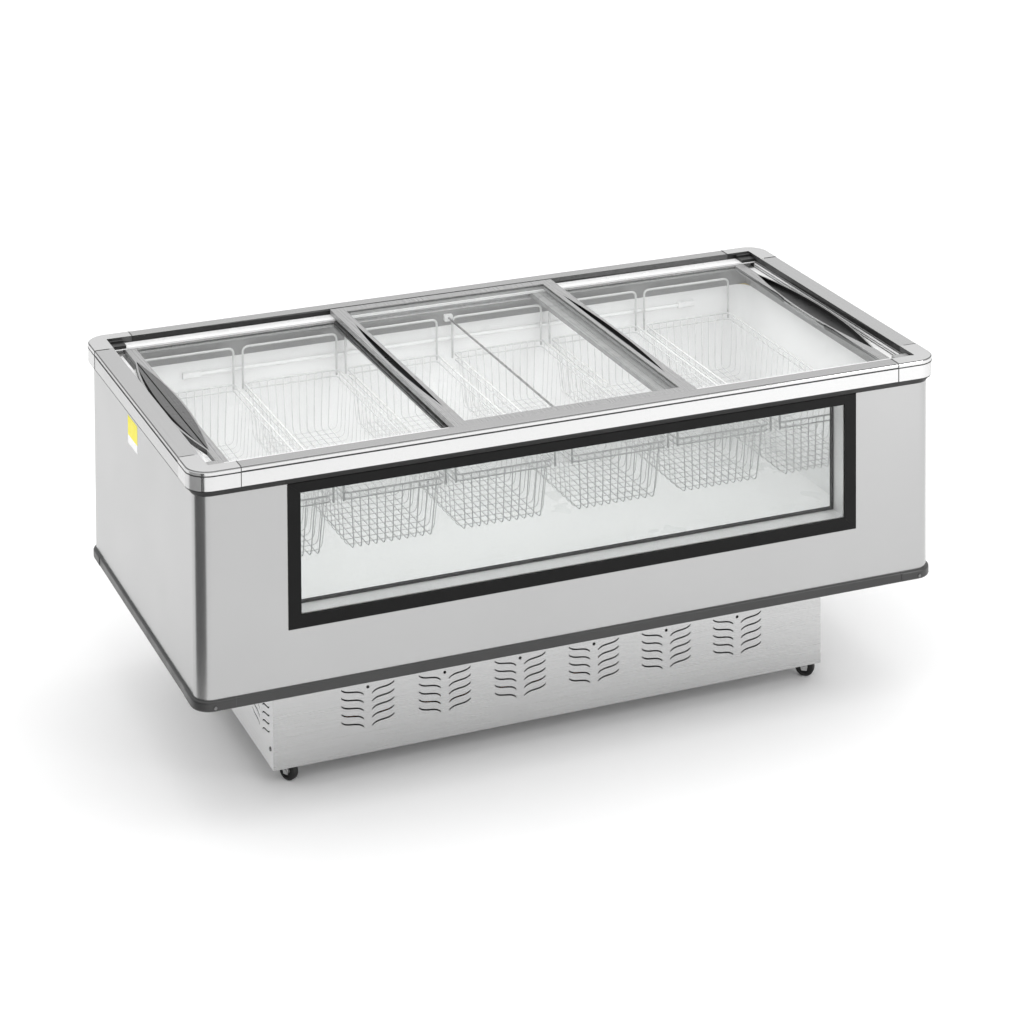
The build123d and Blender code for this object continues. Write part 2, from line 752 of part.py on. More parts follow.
# fan behind the condenser: shroud plate with legs, motor, blade wheel
fan_x = condenser_x + 60.0
fan_z = 186.0
fan_r = 88.0
shaft_r = 3.0
with BuildPart() as fan_shroud:
    with BuildSketch(Plane.YZ.offset(fan_x)):
        with Locations((0, (base_top + 292) / 2)):
            Rectangle(280, 292 - base_top)
        with Locations((0, fan_z)):
            Circle(fan_r + 6, mode=Mode.SUBTRACT)
    extrude(amount=1.5)
    with BuildSketch(Plane.YZ.offset(fan_x)):
        with Locations((0, fan_z)):
            Circle(fan_r + 7.5)
            Circle(fan_r + 6, mode=Mode.SUBTRACT)
    extrude(amount=26)
    # motor bracket arms
    for sy in (-1, 1):
        y0, y1 = sorted((sy * 20.0, sy * (fan_r + 20)))
        add(plain_block(fan_x + 46, fan_x + 48, y0, y1, fan_z - 7, fan_z + 7))
        y0, y1 = sorted((sy * (fan_r + 18), sy * (fan_r + 20)))
        add(plain_block(fan_x + 1, fan_x + 48, y0, y1, fan_z - 7, fan_z + 7))
    add(plain_block(fan_x + 46, fan_x + 48, -22, 22, fan_z - 22, fan_z + 22))
    with Locations(Plane.YZ.offset(fan_x + 47) * Location((0, fan_z, 0))):
        Cylinder(radius=9, height=6, mode=Mode.SUBTRACT)
fan_shroud.part.label = "fan_shroud"
export_step(fan_shroud.part, "parts/fan_shroud.step")

with BuildPart() as fan_motor:
    with Locations(Plane.YZ.offset(fan_x + 48) * Location((0, fan_z, 0))):
        Cylinder(26, 44, align=(Align.CENTER, Align.CENTER, Align.MIN))
        Cylinder(8.9, 8, align=(Align.CENTER, Align.CENTER, Align.MAX))
        Cylinder(shaft_r, 42, align=(Align.CENTER, Align.CENTER, Align.MAX))
    fillet(
        fan_motor.edges().filter_by(GeomType.CIRCLE).filter_by(lambda e: e.radius > 20), radius=5
    )
fan_motor.part.label = "fan_motor"
export_step(fan_motor.part, "parts/fan_motor.step")

blade_count = 5
with BuildPart() as fan_blade:
    with Locations(Plane.YZ.offset(fan_x + 8) * Location((0, fan_z, 0))):
        Cylinder(20, 22, align=(Align.CENTER, Align.CENTER, Align.MIN))
    for i in range(blade_count):
        turn = 360 / blade_count * i
        tilted = Plane((fan_x + 19, 0, fan_z), x_dir=(0, 0, 1), z_dir=(0, 1, 0))
        with BuildPart(mode=Mode.PRIVATE) as one_blade:
            with BuildSketch(tilted.offset(18) * Location((0, 0, 0), (0, 0, 34))):
                Rectangle(30, 1.6)
            with BuildSketch(tilted.offset(fan_r) * Location((0, 0, 0), (0, 0, 20))):
                Rectangle(62, 1.6)
            loft()
        axis = Axis((0, 0, fan_z), (1, 0, 0))
        add(one_blade.part.rotate(axis, turn))
    with Locations(Plane.YZ.offset(fan_x + 19) * Location((0, 0, 0))):
        with Locations((0, fan_z, 0)):
            Cylinder(radius=shaft_r + running, height=60, mode=Mode.SUBTRACT)
fan_blade.part.label = "fan_blade"
export_step(fan_blade.part, "parts/fan_blade.step")

# pipes: discharge to the condenser, liquid line with drier, suction from the tank
pot_top = foot_z + 14 + 165 + 7
cx, cy = compressor_at
last_pass = first_pass + (passes - 1) * pass_pitch
with BuildPart() as refrigerant_pipes:
    add(
        tube_along(
            [
                (cx - 30, cy, pot_top + 0.1),
                (cx - 30, cy, 290),
                (cx - 30, -220, 290),
                (condenser_x, -220, 290),
                (condenser_x, -220, last_pass),
                (condenser_x, -run_half - 0.2, last_pass),
            ],
            12,
            3.2,
        )
    )
    add(
        tube_along(
            [
                (cx + 30, cy, pot_top + 0.1),
                (cx + 30, cy, 285),
                (suction_hole[0], suction_hole[1], 285),
                (suction_hole[0], suction_hole[1], tank_floor - liner_sheet - 4),
            ],
            8,
            5,
        )
    )
    # liquid line ends in the filter drier
    add(
        tube_along(
            [
                (condenser_x, -run_half - 0.2, first_pass),
                (condenser_x, -245, first_pass),
                (-300, -245, first_pass),
            ],
            12,
            3.2,
        )
    )
    with Locations(Plane.YZ.offset(-300) * Location((-245, first_pass, 0))):
        Cylinder(11, 90, align=(Align.CENTER, Align.CENTER, Align.MIN))
    add(
        tube_along(
            [
                (-210, -245, first_pass),
                (150, -245, first_pass),
                (150, -245, 282),
                (suction_hole[0] - 25, -245, 282),
            ],
            10,
            1.6,
        )
    )
refrigerant_pipes.part.label = "refrigerant_pipes"
export_step(refrigerant_pipes.part, "parts/refrigerant_pipes.step")

# power cord: out through the rear panel, looped back on itself, ending in a round plug that faces rearwards
plug_x = cord_x - 180
plug_y = plinth_half_y + 100
plug_z = 150.0
plug_length = 40.0
pin_length = 19.0
with BuildPart() as power_cord:
    add(
        tube_along(
            [
                (cord_x, plinth_half_y - 30, cord_z),
                (cord_x, plinth_half_y + 30, cord_z),
                (cord_x, plinth_half_y + 30, 262),
                (cord_x - 90, plinth_half_y + 30, 262),
                (cord_x - 90, plinth_half_y + 30, plug_z),
                (plug_x, plinth_half_y + 30, plug_z),
                (plug_x, plug_y, plug_z),
            ],
            18,
            4,
        )
    )
    with Locations(Plane(origin=(plug_x, plug_y, plug_z), x_dir=(1, 0, 0), z_dir=(0, 1, 0))):
        Cylinder(17, plug_length, align=(Align.CENTER, Align.CENTER, Align.MIN))
        with GridLocations(19, 0, 2, 1):
            Cylinder(2.4, plug_length + pin_length, align=(Align.CENTER, Align.CENTER, Align.MIN))
    # gland in the panel hole
    with Locations(Plane.XZ.offset(-plinth_half_y) * Location((cord_x, cord_z, 0))):
        Cylinder(9.9, 12)
power_cord.part.label = "power_cord"
export_step(power_cord.part, "parts/power_cord.step")

knob_y = control_y - 40
switch_y = control_y + 40
knob_shaft_r = 3.0
with BuildPart() as thermostat_housing:
    box_y0 = control_y - control_w / 2
    box_z0 = control_z - control_h / 2
    add(
        plain_block(
            plinth_half_x - control_d,
            plinth_half_x + 0.1,
            box_y0,
            box_y0 + control_w,
            box_z0,
            box_z0 + control_h,
        )
    )
    add(
        plain_block(
            plinth_half_x + 0.1,
            plinth_half_x + 3,
            box_y0 - 8,
            box_y0 + control_w + 8,
            box_z0 - 8,
            box_z0 + control_h + 8,
        )
    )
    fillet(thermostat_housing.edges().group_by(Axis.X)[-1], radius=2)
    # open back
    add(
        plain_block(
            plinth_half_x - control_d - 1,
            plinth_half_x - 3,
            box_y0 + 2.5,
            box_y0 + control_w - 2.5,
            box_z0 + 2.5,
            box_z0 + control_h - 2.5,
        ),
        mode=Mode.SUBTRACT,
    )
    # hole of the thermostat shaft and window of the rocker switch
    with Locations(Plane.YZ.offset(plinth_half_x) * Location((knob_y, control_z, 0))):
        Cylinder(radius=knob_shaft_r + running, height=20, mode=Mode.SUBTRACT)
    add(
        plain_block(
            plinth_half_x - 5,
            plinth_half_x + 5,
            switch_y - 15,
            switch_y + 15,
            control_z - 11,
            control_z + 11,
        ),
        mode=Mode.SUBTRACT,
    )
    # trunnion cheeks of the rocker
    for sy in (-1, 1):
        y0, y1 = sorted((switch_y + sy * 15, switch_y + sy * 19))
        add(plain_block(plinth_half_x - 14, plinth_half_x - 3, y0, y1, control_z - 12, control_z + 12))
    with Locations(Plane.XZ.offset(-switch_y) * Location((plinth_half_x - 7, control_z, 0))):
        Cylinder(radius=1.5 + running, height=60, mode=Mode.SUBTRACT)
thermostat_housing.part.label = "thermostat_housing"
export_step(thermostat_housing.part, "parts/thermostat_housing.step")

with BuildPart() as thermostat_knob:
    with Locations(Plane.YZ.offset(plinth_half_x + 3.5) * Location((knob_y, control_z, 0))):
        Cylinder(19, 6, align=(Align.CENTER, Align.CENTER, Align.MIN))
        Cylinder(15, 17, align=(Align.CENTER, Align.CENTER, Align.MIN))
        Cylinder(knob_shaft_r, 20, align=(Align.CENTER, Align.CENTER, Align.MAX))
    # pointer rib and finger flutes
    add(
        plain_block(
            plinth_half_x + 20.5,
            plinth_half_x + 22,
            knob_y - 1.2,
            knob_y + 1.2,
            control_z + 4,
            control_z + 14,
        )
    )
    with Locations(Plane.YZ.offset(plinth_half_x + 10) * Location((knob_y, control_z, 0))):
        with PolarLocations(17, 12):
            Cylinder(3, 30, align=(Align.CENTER, Align.CENTER, Align.MIN), mode=Mode.SUBTRACT)
thermostat_knob.part.label = "thermostat_knob"
export_step(thermostat_knob.part, "parts/thermostat_knob.step")

with BuildPart() as mains_switch:
    with BuildSketch(Plane.XZ.offset(-(switch_y - 14.5))):
        with BuildLine():
            Polyline(
                (plinth_half_x - 10, control_z - 8),
                (plinth_half_x + 4.5, control_z - 9.6),
                (plinth_half_x + 2.6, control_z),
                (plinth_half_x + 4.5, control_z + 9.6),
                (plinth_half_x - 10, control_z + 8),
                close=True,
            )
        make_face()
    extrude(amount=-29)
    with Locations(Plane.XZ.offset(-switch_y) * Location((plinth_half_x - 7, control_z, 0))):
        Cylinder(1.5, 36)
mains_switch.part.label = "mains_switch"
export_step(mains_switch.part, "parts/mains_switch.step")

# ---------------------------------------------------------------- fittings in the tank mouth
lamp_y = tank_half_y - 6.0
lamp_z = 772.0
lamp_r = 5.0
lamp_ends = (-755.0, 747.0)
holder = 50.0
with BuildPart() as lamp_tube:
    with Locations(Plane.YZ.offset(lamp_ends[0] + holder - 12) * Location((lamp_y, lamp_z, 0))):
        Cylinder(
            lamp_r,
            lamp_ends[1] - lamp_ends[0] - 2 * holder + 24,
            align=(Align.CENTER, Align.CENTER, Align.MIN),
        )
lamp_tube.part.label = "lamp_tube"
export_step(lamp_tube.part, "parts/lamp_tube.step")

with BuildPart() as lamp_holders:
    for x0 in (lamp_ends[0], lamp_ends[1] - holder):
        add(plain_block(x0, x0 + holder, lamp_y - 6.5, tank_half_y, lamp_z - 8, lamp_z + 8))
    fillet(lamp_holders.edges().filter_by(Axis.X).group_by(Axis.Y)[0], radius=3)
    with Locations(Plane.YZ.offset(lamp_ends[0] + holder - 12) * Location((lamp_y, lamp_z, 0))):
        Cylinder(
            lamp_r + running,
            lamp_ends[1] - lamp_ends[0] - 2 * holder + 24,
            align=(Align.CENTER, Align.CENTER, Align.MIN),
            mode=Mode.SUBTRACT,
        )
lamp_holders.part.label = "lamp_holders"
export_step(lamp_holders.part, "parts/lamp_holders.step")

rod_z = 829.0
rod_r = 3.0
with BuildPart() as tie_rod:
    with Locations(Plane.XZ * Location((0, rod_z, 0))):
        Cylinder(rod_r, 2 * tank_half_y - 2)
tie_rod.part.label = "tie_rod"
export_step(tie_rod.part, "parts/tie_rod.step")

with BuildPart() as tie_rod_clips:
    for sy in (-1, 1):
        y0, y1 = sorted((sy * (tank_half_y - 11), sy * tank_half_y))
        add(plain_block(-12, 12, y0, y1, rod_z - 9, rod_z + 9))
    fillet(tie_rod_clips.edges().filter_by(Axis.Y), radius=3)
    with Locations(Plane.XZ * Location((0, rod_z, 0))):
        Cylinder(rod_r + running, 2 * tank_half_y - 1.9, mode=Mode.SUBTRACT)
tie_rod_clips.part.label = "tie_rod_clips"
export_step(tie_rod_clips.part, "parts/tie_rod_clips.step")

# blank sticker on the left-hand end
with BuildPart() as energy_label:
    add(plain_block(-body_half_x - 0.3, -body_half_x, 26, 115, 736, 807))
energy_label.part.label = "energy_label"
export_step(energy_label.part, "parts/energy_label.step")

# ---------------------------------------------------------------- wire baskets
loop_wire = 3.0
rim_bar = 5.0
loop_y = 405.0
loop_top = basket_rest_top + 0.05 + loop_wire
rim_z = 735.0
basket_floor = 586.0
rim_x = basket_half_x - loop_wire
rim_y = loop_y - loop_wire
taper = 12.0
mesh_wall = 2.6             # thickness of the welded mesh


def tray(shrink, low, high):
    """The basket's tapered envelope, made smaller all round by a wall thickness."""
    with BuildPart(mode=Mode.PRIVATE) as envelope:
        with BuildSketch(Plane.XY.offset(low)):
            RectangleRounded(
                2 * (rim_x - rim_bar / 2 - taper - shrink), 2 * (rim_y - rim_bar / 2 - taper - shrink), 12
            )
        with BuildSketch(Plane.XY.offset(high)):
            RectangleRounded(2 * (rim_x - rim_bar / 2 - shrink), 2 * (rim_y - rim_bar / 2 - shrink), 14)
        loft()
    return envelope.part


# one basket: an open tray of mesh sheet under a square rim, with a tall wire loop at both ends
with BuildPart() as basket:
    add(tray(0.0, basket_floor, rim_z))
    with BuildSketch(Plane.XY.offset(rim_z - rim_bar / 2)):
        RectangleRounded(2 * rim_x, 2 * rim_y, 16)
    extrude(amount=rim_bar)
    add(tray(mesh_wall, basket_floor + mesh_wall, rim_z + rim_bar), mode=Mode.SUBTRACT)
    for side in (-1, 1):
        add(
            tube_along(
                [
                    (-rim_x, side * loop_y, rim_z - 8),
                    (-rim_x, side * loop_y, loop_top),
                    (rim_x, side * loop_y, loop_top),
                    (rim_x, side * loop_y, rim_z - 8),
                ],
                14,
                loop_wire,
            )
        )
        # welds between the loop's legs and the rim
        y0, y1 = sorted((side * (rim_y - 6), side * (rim_y + 1.5)))
        for x0 in (-rim_x, rim_x - 8):
            add(plain_block(x0, x0 + 8, y0, y1, rim_z - 2, rim_z + 2))

for i, centre in enumerate(basket_centres):
    with BuildPart() as basket_copy:
        add(basket.part.moved(Location((centre, 0, 0))))
    basket_copy.part.label = f"basket_{i + 1}"
    export_step(basket_copy.part, f"parts/basket_{i + 1}.step")

# ---------------------------------------------------------------- sliding glass lids
lower_lid_low = lower_track + 0.6
lower_lid_high = upper_track - ledge_plate - 0.6
lower_rail = (415.0, 443.5)       # reach of the long rails along Y
upper_lid_low = upper_track + strip + 0.1
upper_lid_high = height - 1.6
upper_rail = (432.0, 461.5)
rebate = 8.0                      # glass held this deep in the frame
grip_half = 325.0                 # half length of a finger grip
left_lid_inner = -285.0           # inner edges of the outer lids
right_lid_inner = 252.0
inner_stile = 46.0
outer_edge = 908.0                # straight edge of the outer lids
outer_stile = 28.0
grip_apex = 943.0                 # where the grip's bow meets the end wall
middle_half = 326.0
middle_stile = 36.0


def lens(x_chord, x_one, x_other, half):
    """A long lens between two arcs that share a chord along Y."""
    with BuildSketch(mode=Mode.PRIVATE) as outline:
        with BuildLine():
            ThreePointArc((x_chord, -half), (x_one, 0), (x_chord, half))
            ThreePointArc((x_chord, half), (x_other, 0), (x_chord, -half))
        make_face()
    return outline.sketch


def lid_rails(x0, x1, rail, low, high):
    """Front and rear rails of a lid, grooved for the glass."""
    inner, outer = rail
    groove_low = high - 2.5 - glass - gap
    groove_high = high - 2.5 + gap
    with BuildPart(mode=Mode.PRIVATE) as rails:
        for side in (-1, 1):
            y0, y1 = sorted((side * inner, side * outer))
            add(plain_block(x0, x1, y0, y1, low, high))
        add(
            plain_block(x0 - 1, x1 + 1, -inner - rebate, inner + rebate, groove_low, groove_high),
            mode=Mode.SUBTRACT,
        )
    return rails.part


def outer_lid(side, inner_edge, frame_name, glass_name):
    """An outer lid: straight inner stile, and a bowed finger grip at the cabinet's end."""
    low, high = lower_lid_low, lower_lid_high
    glass_low = high - 2.5 - glass
    inner_y, outer_y = lower_rail
    # the lid is drawn on the right and mirrored for the left
    stile_in = side * inner_edge
    with BuildPart() as frame:
        add(lid_rails(stile_in + inner_stile, outer_edge - outer_stile, lower_rail, low, high))
        # inner stile with a raised rib
        add(plain_block(stile_in, stile_in + inner_stile, -outer_y, outer_y, low, high))
        add(
            plain_block(stile_in + 20, stile_in + 23, -outer_y - 1, outer_y + 1, high - 1.2, high + 1),
            mode=Mode.SUBTRACT,
        )
        # outer stile and its bowed grip
        with BuildSketch(Plane.XY.offset(low)):
            with Locations((outer_edge - outer_stile / 2, 0)):
                Rectangle(outer_stile, 2 * outer_y)
            add(lens(outer_edge - 3, grip_apex, outer_edge - outer_stile - 7, grip_half + 12))
        extrude(amount=high - low)
        with BuildSketch(Plane.XY.offset(low + 3)):
            add(lens(outer_edge - 4, grip_apex - 6, outer_edge - outer_stile - 2, grip_half))
        extrude(amount=high - low, mode=Mode.SUBTRACT)
        add(
            plain_block(
                stile_in + inner_stile - rebate - gap,
                outer_edge - outer_stile + rebate + gap - 9,
                -inner_y - rebate,
                inner_y + rebate,
                glass_low - gap,
                glass_low + glass + gap,
            ),
            mode=Mode.SUBTRACT,
        )
        if side < 0:
            mirror(about=Plane.YZ, mode=Mode.REPLACE)
    frame.part.label = frame_name
    export_step(frame.part, f"parts/{frame_name}.step")
    with BuildPart() as sheet_glass:
        add(
            plain_block(
                stile_in + inner_stile - rebate,
                outer_edge - outer_stile - 1.5,
                -inner_y - rebate + gap,
                inner_y + rebate - gap,
                glass_low,
                glass_low + glass,
            )
        )
        if side < 0:
            mirror(about=Plane.YZ, mode=Mode.REPLACE)
    sheet_glass.part.label = glass_name
    export_step(sheet_glass.part, f"parts/{glass_name}.step")


outer_lid(-1, left_lid_inner, "lid_left_frame", "lid_left_glass")
outer_lid(1, right_lid_inner, "lid_right_frame", "lid_right_glass")

with BuildPart() as lid_middle_frame:
    low, high = upper_lid_low, upper_lid_high
    glass_low = high - 2.5 - glass
    inner_y, outer_y = upper_rail
    add(lid_rails(-middle_half + middle_stile, middle_half - middle_stile, upper_rail, low, high))
    for side in (-1, 1):
        x0, x1 = sorted((side * middle_half, side * (middle_half - middle_stile)))
        add(plain_block(x0, x1, -outer_y, outer_y, low, high))
    add(
        plain_block(
            -middle_half + middle_stile - rebate - gap,
            middle_half - middle_stile + rebate + gap,
            -inner_y - rebate,
            inner_y + rebate,
            glass_low - gap,
            glass_low + glass + gap,
        ),
        mode=Mode.SUBTRACT,
    )
    # finger grips sunk in both stiles
    with BuildSketch(Plane.XY.offset(low + 3)):
        for side in (-1, 1):
            chord = side * (middle_half - middle_stile + 13)
            add(lens(chord, chord - side * 2, chord + side * 16, grip_half))
    extrude(amount=high, mode=Mode.SUBTRACT)
lid_middle_frame.part.label = "lid_middle_frame"
export_step(lid_middle_frame.part, "parts/lid_middle_frame.step")

with BuildPart() as lid_middle_glass:
    add(
        plain_block(
            -middle_half + middle_stile - rebate,
            middle_half - middle_stile + rebate,
            -inner_y - rebate + gap,
            inner_y + rebate - gap,
            glass_low,
            glass_low + glass,
        )
    )
lid_middle_glass.part.label = "lid_middle_glass"
export_step(lid_middle_glass.part, "parts/lid_middle_glass.step")

# ---------------------------------------------------------------- casters
wheel_r = 25.0
wheel_width = 18.0
axle_r = 4.0
trail = 20.0
kingpin_r = 5.0
plate_sheet = 3.0
race_low = 62.0
crown_high = race_low - 0.3
crown = 3.0
fork_gap = wheel_width / 2 + 1.0
fork_sheet = 2.5

with BuildPart() as caster_plates:
    with BuildSketch(Plane.XY.offset(base_plate_low - plate_sheet)):
        with GridLocations(2 * caster_x, 2 * caster_y, 2, 2):
            RectangleRounded(60, 60, 6)
    extrude(amount=plate_sheet)
    with BuildSketch(Plane.XY.offset(race_low)):
        with GridLocations(2 * caster_x, 2 * caster_y, 2, 2):
            Circle(21)
    extrude(amount=base_plate_low - plate_sheet - race_low)
    with GridLocations(2 * caster_x, 2 * caster_y, 2, 2):
        with Locations((0, 0, base_plate_low)):
            Cylinder(radius=kingpin_r + running, height=40, mode=Mode.SUBTRACT)
caster_plates.part.label = "caster_plates"
export_step(caster_plates.part, "parts/caster_plates.step")


def fork_solid():
    """Swivel fork with its kingpin and axle, trailing along +X."""
    with BuildPart(mode=Mode.PRIVATE) as fork:
        with BuildSketch(Plane.XY.offset(crown_high - crown)):
            Circle(20)
            with Locations((trail / 2, 0)):
                Rectangle(trail, 2 * (fork_gap + fork_sheet))
        extrude(amount=crown)
        # two arms from the crown down to the axle
        for side in (-1, 1):
            with BuildSketch(Plane.XZ.offset(-side * fork_gap)):
                with BuildLine():
                    Polyline(
                        (-12, crown_high - crown),
                        (trail + 2, crown_high - crown),
                        (trail + 9, wheel_r + 4),
                        (trail + 7, wheel_r - 8),
                        (trail - 7, wheel_r - 8),
                        (trail - 9, wheel_r),
                        close=True,
                    )
                make_face()
            extrude(amount=-side * fork_sheet)
        with Locations(Plane.XZ * Location((trail, wheel_r, 0))):
            Cylinder(axle_r, 2 * (fork_gap + fork_sheet + 2))
        with Locations((0, 0, crown_high - crown)):
            pin_height = base_plate_low - 1 - crown_high + crown
            Cylinder(kingpin_r, pin_height, align=(Align.CENTER, Align.CENTER, Align.MIN))
    return fork.part


def wheel_solid():
    """Tyre and hub in one, on the axle of the fork."""
    with BuildPart(mode=Mode.PRIVATE) as wheel:
        with Locations(Plane.XZ * Location((trail, wheel_r, 0))):
            Cylinder(wheel_r, wheel_width)
        fillet(wheel.edges().filter_by(GeomType.CIRCLE), radius=4)
        for side in (-1, 1):
            with BuildSketch(Plane.XZ.offset(side * wheel_width / 2)):
                with Locations((trail, wheel_r)):
                    Circle(17)
                    Circle(8, mode=Mode.SUBTRACT)
            extrude(amount=-side * 3, mode=Mode.SUBTRACT)
        with Locations(Plane.XZ * Location((trail, wheel_r, 0))):
            Cylinder(radius=axle_r + running, height=40, mode=Mode.SUBTRACT)
    return wheel.part


fork_shape = fork_solid()
wheel_shape = wheel_solid()
caster_turns = {
    "front_left": (-caster_x, -caster_y, -60.0),
    "front_right": (caster_x, -caster_y, -40.0),
    "rear_left": (-caster_x, caster_y, 150.0),
    "rear_right": (caster_x, caster_y, 30.0),
}
for corner, (x, y, turn) in caster_turns.items():
    place = Location((x, y, 0), (0, 0, turn))
    with BuildPart() as caster_fork:
        add(fork_shape.moved(place))
    caster_fork.part.label = f"caster_fork_{corner}"
    export_step(caster_fork.part, f"parts/caster_fork_{corner}.step")
    with BuildPart() as caster_wheel:
        add(wheel_shape.moved(place))
    caster_wheel.part.label = f"caster_wheel_{corner}"
    export_step(caster_wheel.part, f"parts/caster_wheel_{corner}.step")
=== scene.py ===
"""Looks of the island chest freezer: finishes for every CAD node, baskets, seals, lid details, a studio."""

import json
import math

import bpy
from mathutils import Matrix, Vector


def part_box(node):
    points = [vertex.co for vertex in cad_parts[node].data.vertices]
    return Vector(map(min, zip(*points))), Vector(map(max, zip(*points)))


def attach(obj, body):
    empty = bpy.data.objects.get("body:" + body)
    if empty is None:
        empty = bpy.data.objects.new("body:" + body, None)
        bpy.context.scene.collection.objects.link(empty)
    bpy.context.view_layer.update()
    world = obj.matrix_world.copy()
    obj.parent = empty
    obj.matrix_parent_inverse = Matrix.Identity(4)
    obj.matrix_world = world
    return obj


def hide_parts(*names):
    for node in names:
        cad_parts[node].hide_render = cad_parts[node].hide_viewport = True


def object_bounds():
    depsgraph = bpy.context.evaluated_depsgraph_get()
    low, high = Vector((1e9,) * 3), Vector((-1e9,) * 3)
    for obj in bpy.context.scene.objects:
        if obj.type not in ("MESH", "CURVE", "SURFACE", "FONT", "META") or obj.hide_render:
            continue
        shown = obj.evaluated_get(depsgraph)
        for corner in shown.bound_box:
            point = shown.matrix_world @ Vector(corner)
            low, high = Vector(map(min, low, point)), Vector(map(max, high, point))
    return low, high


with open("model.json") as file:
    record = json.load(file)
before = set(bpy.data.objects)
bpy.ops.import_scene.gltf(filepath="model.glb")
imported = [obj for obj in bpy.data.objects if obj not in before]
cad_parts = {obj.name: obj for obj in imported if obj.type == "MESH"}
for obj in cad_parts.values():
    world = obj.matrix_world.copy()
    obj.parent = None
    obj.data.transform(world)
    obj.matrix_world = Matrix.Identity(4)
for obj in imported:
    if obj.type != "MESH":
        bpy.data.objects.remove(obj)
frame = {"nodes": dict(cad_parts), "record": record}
nodes = frame["nodes"]
cad_low, cad_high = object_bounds()

MM = 0.001


# ---------------------------------------------------------------- shader graphs
class Graph:
    """Adds nodes to one material and links them."""

    def __init__(self, name):
        self.material = bpy.data.materials.new(name)
        self.material.use_nodes = True
        self.tree = self.material.node_tree
        self.tree.nodes.clear()
        self.output = self.node("ShaderNodeOutputMaterial")
        self.place = self.node("ShaderNodeTexCoord").outputs["Object"]

    def node(self, kind, **settings):
        made = self.tree.nodes.new(kind)
        for key, value in settings.items():
            setattr(made, key, value)
        return made

    def feed(self, socket, value):
        if isinstance(value, bpy.types.NodeSocket):
            self.tree.links.new(value, socket)
        else:
            socket.default_value = value

    def stretched(self, scale):
        made = self.node("ShaderNodeMapping")
        self.feed(made.inputs["Vector"], self.place)
        made.inputs["Scale"].default_value = scale
        return made.outputs["Vector"]

    def noise(self, scale, detail=3.0, vector=None):
        made = self.node("ShaderNodeTexNoise")
        self.feed(made.inputs["Vector"], vector or self.place)
        made.inputs["Scale"].default_value = scale
        made.inputs["Detail"].default_value = detail
        return made.outputs["Fac"]

    def spread(self, value, low, high, start=0.3, end=0.7):
        made = self.node("ShaderNodeMapRange")
        self.feed(made.inputs["Value"], value)
        made.inputs["From Min"].default_value = start
        made.inputs["From Max"].default_value = end
        self.feed(made.inputs["To Min"], low)
        self.feed(made.inputs["To Max"], high)
        return made.outputs["Result"]

    def math(self, operation, first, second=0.0):
        made = self.node("ShaderNodeMath", operation=operation)
        self.feed(made.inputs[0], first)
        self.feed(made.inputs[1], second)
        return made.outputs["Value"]

    def blend(self, factor, first, second):
        made = self.node("ShaderNodeMix", data_type="RGBA")
        self.feed(made.inputs["Factor"], factor)
        self.feed(made.inputs["A"], first)
        self.feed(made.inputs["B"], second)
        return made.outputs["Result"]

    def along(self, axis):
        made = self.node("ShaderNodeSeparateXYZ")
        self.feed(made.inputs["Vector"], self.place)
        return made.outputs[axis]

    def bump(self, height, distance, strength=1.0):
        made = self.node("ShaderNodeBump")
        made.inputs["Strength"].default_value = strength
        made.inputs["Distance"].default_value = distance
        self.feed(made.inputs["Height"], height)
        return made.outputs["Normal"]

    def edges(self, radius):
        """From 0 on flat ground to 1 on an outer edge."""
        bevel = self.node("ShaderNodeBevel", samples=4)
        bevel.inputs["Radius"].default_value = radius
        flat = self.node("ShaderNodeNewGeometry")
        dot = self.node("ShaderNodeVectorMath", operation="DOT_PRODUCT")
        self.feed(dot.inputs[0], bevel.outputs["Normal"])
        self.feed(dot.inputs[1], flat.outputs["Normal"])
        return self.spread(dot.outputs["Value"], 1.0, 0.0, 0.80, 0.99)


def grey(level):
    """An sRGB level from 0 to 255 as a linear colour."""
    value = (level / 255.0) ** 2.2
    return (value, value, value, 1.0)


def scaled(colour, factor):
    """A colour made lighter or darker."""
    return tuple(min(1.0, part * factor) for part in colour[:3]) + (1.0,)


EDGE_WEAR_WIDTH = 1.2 * MM


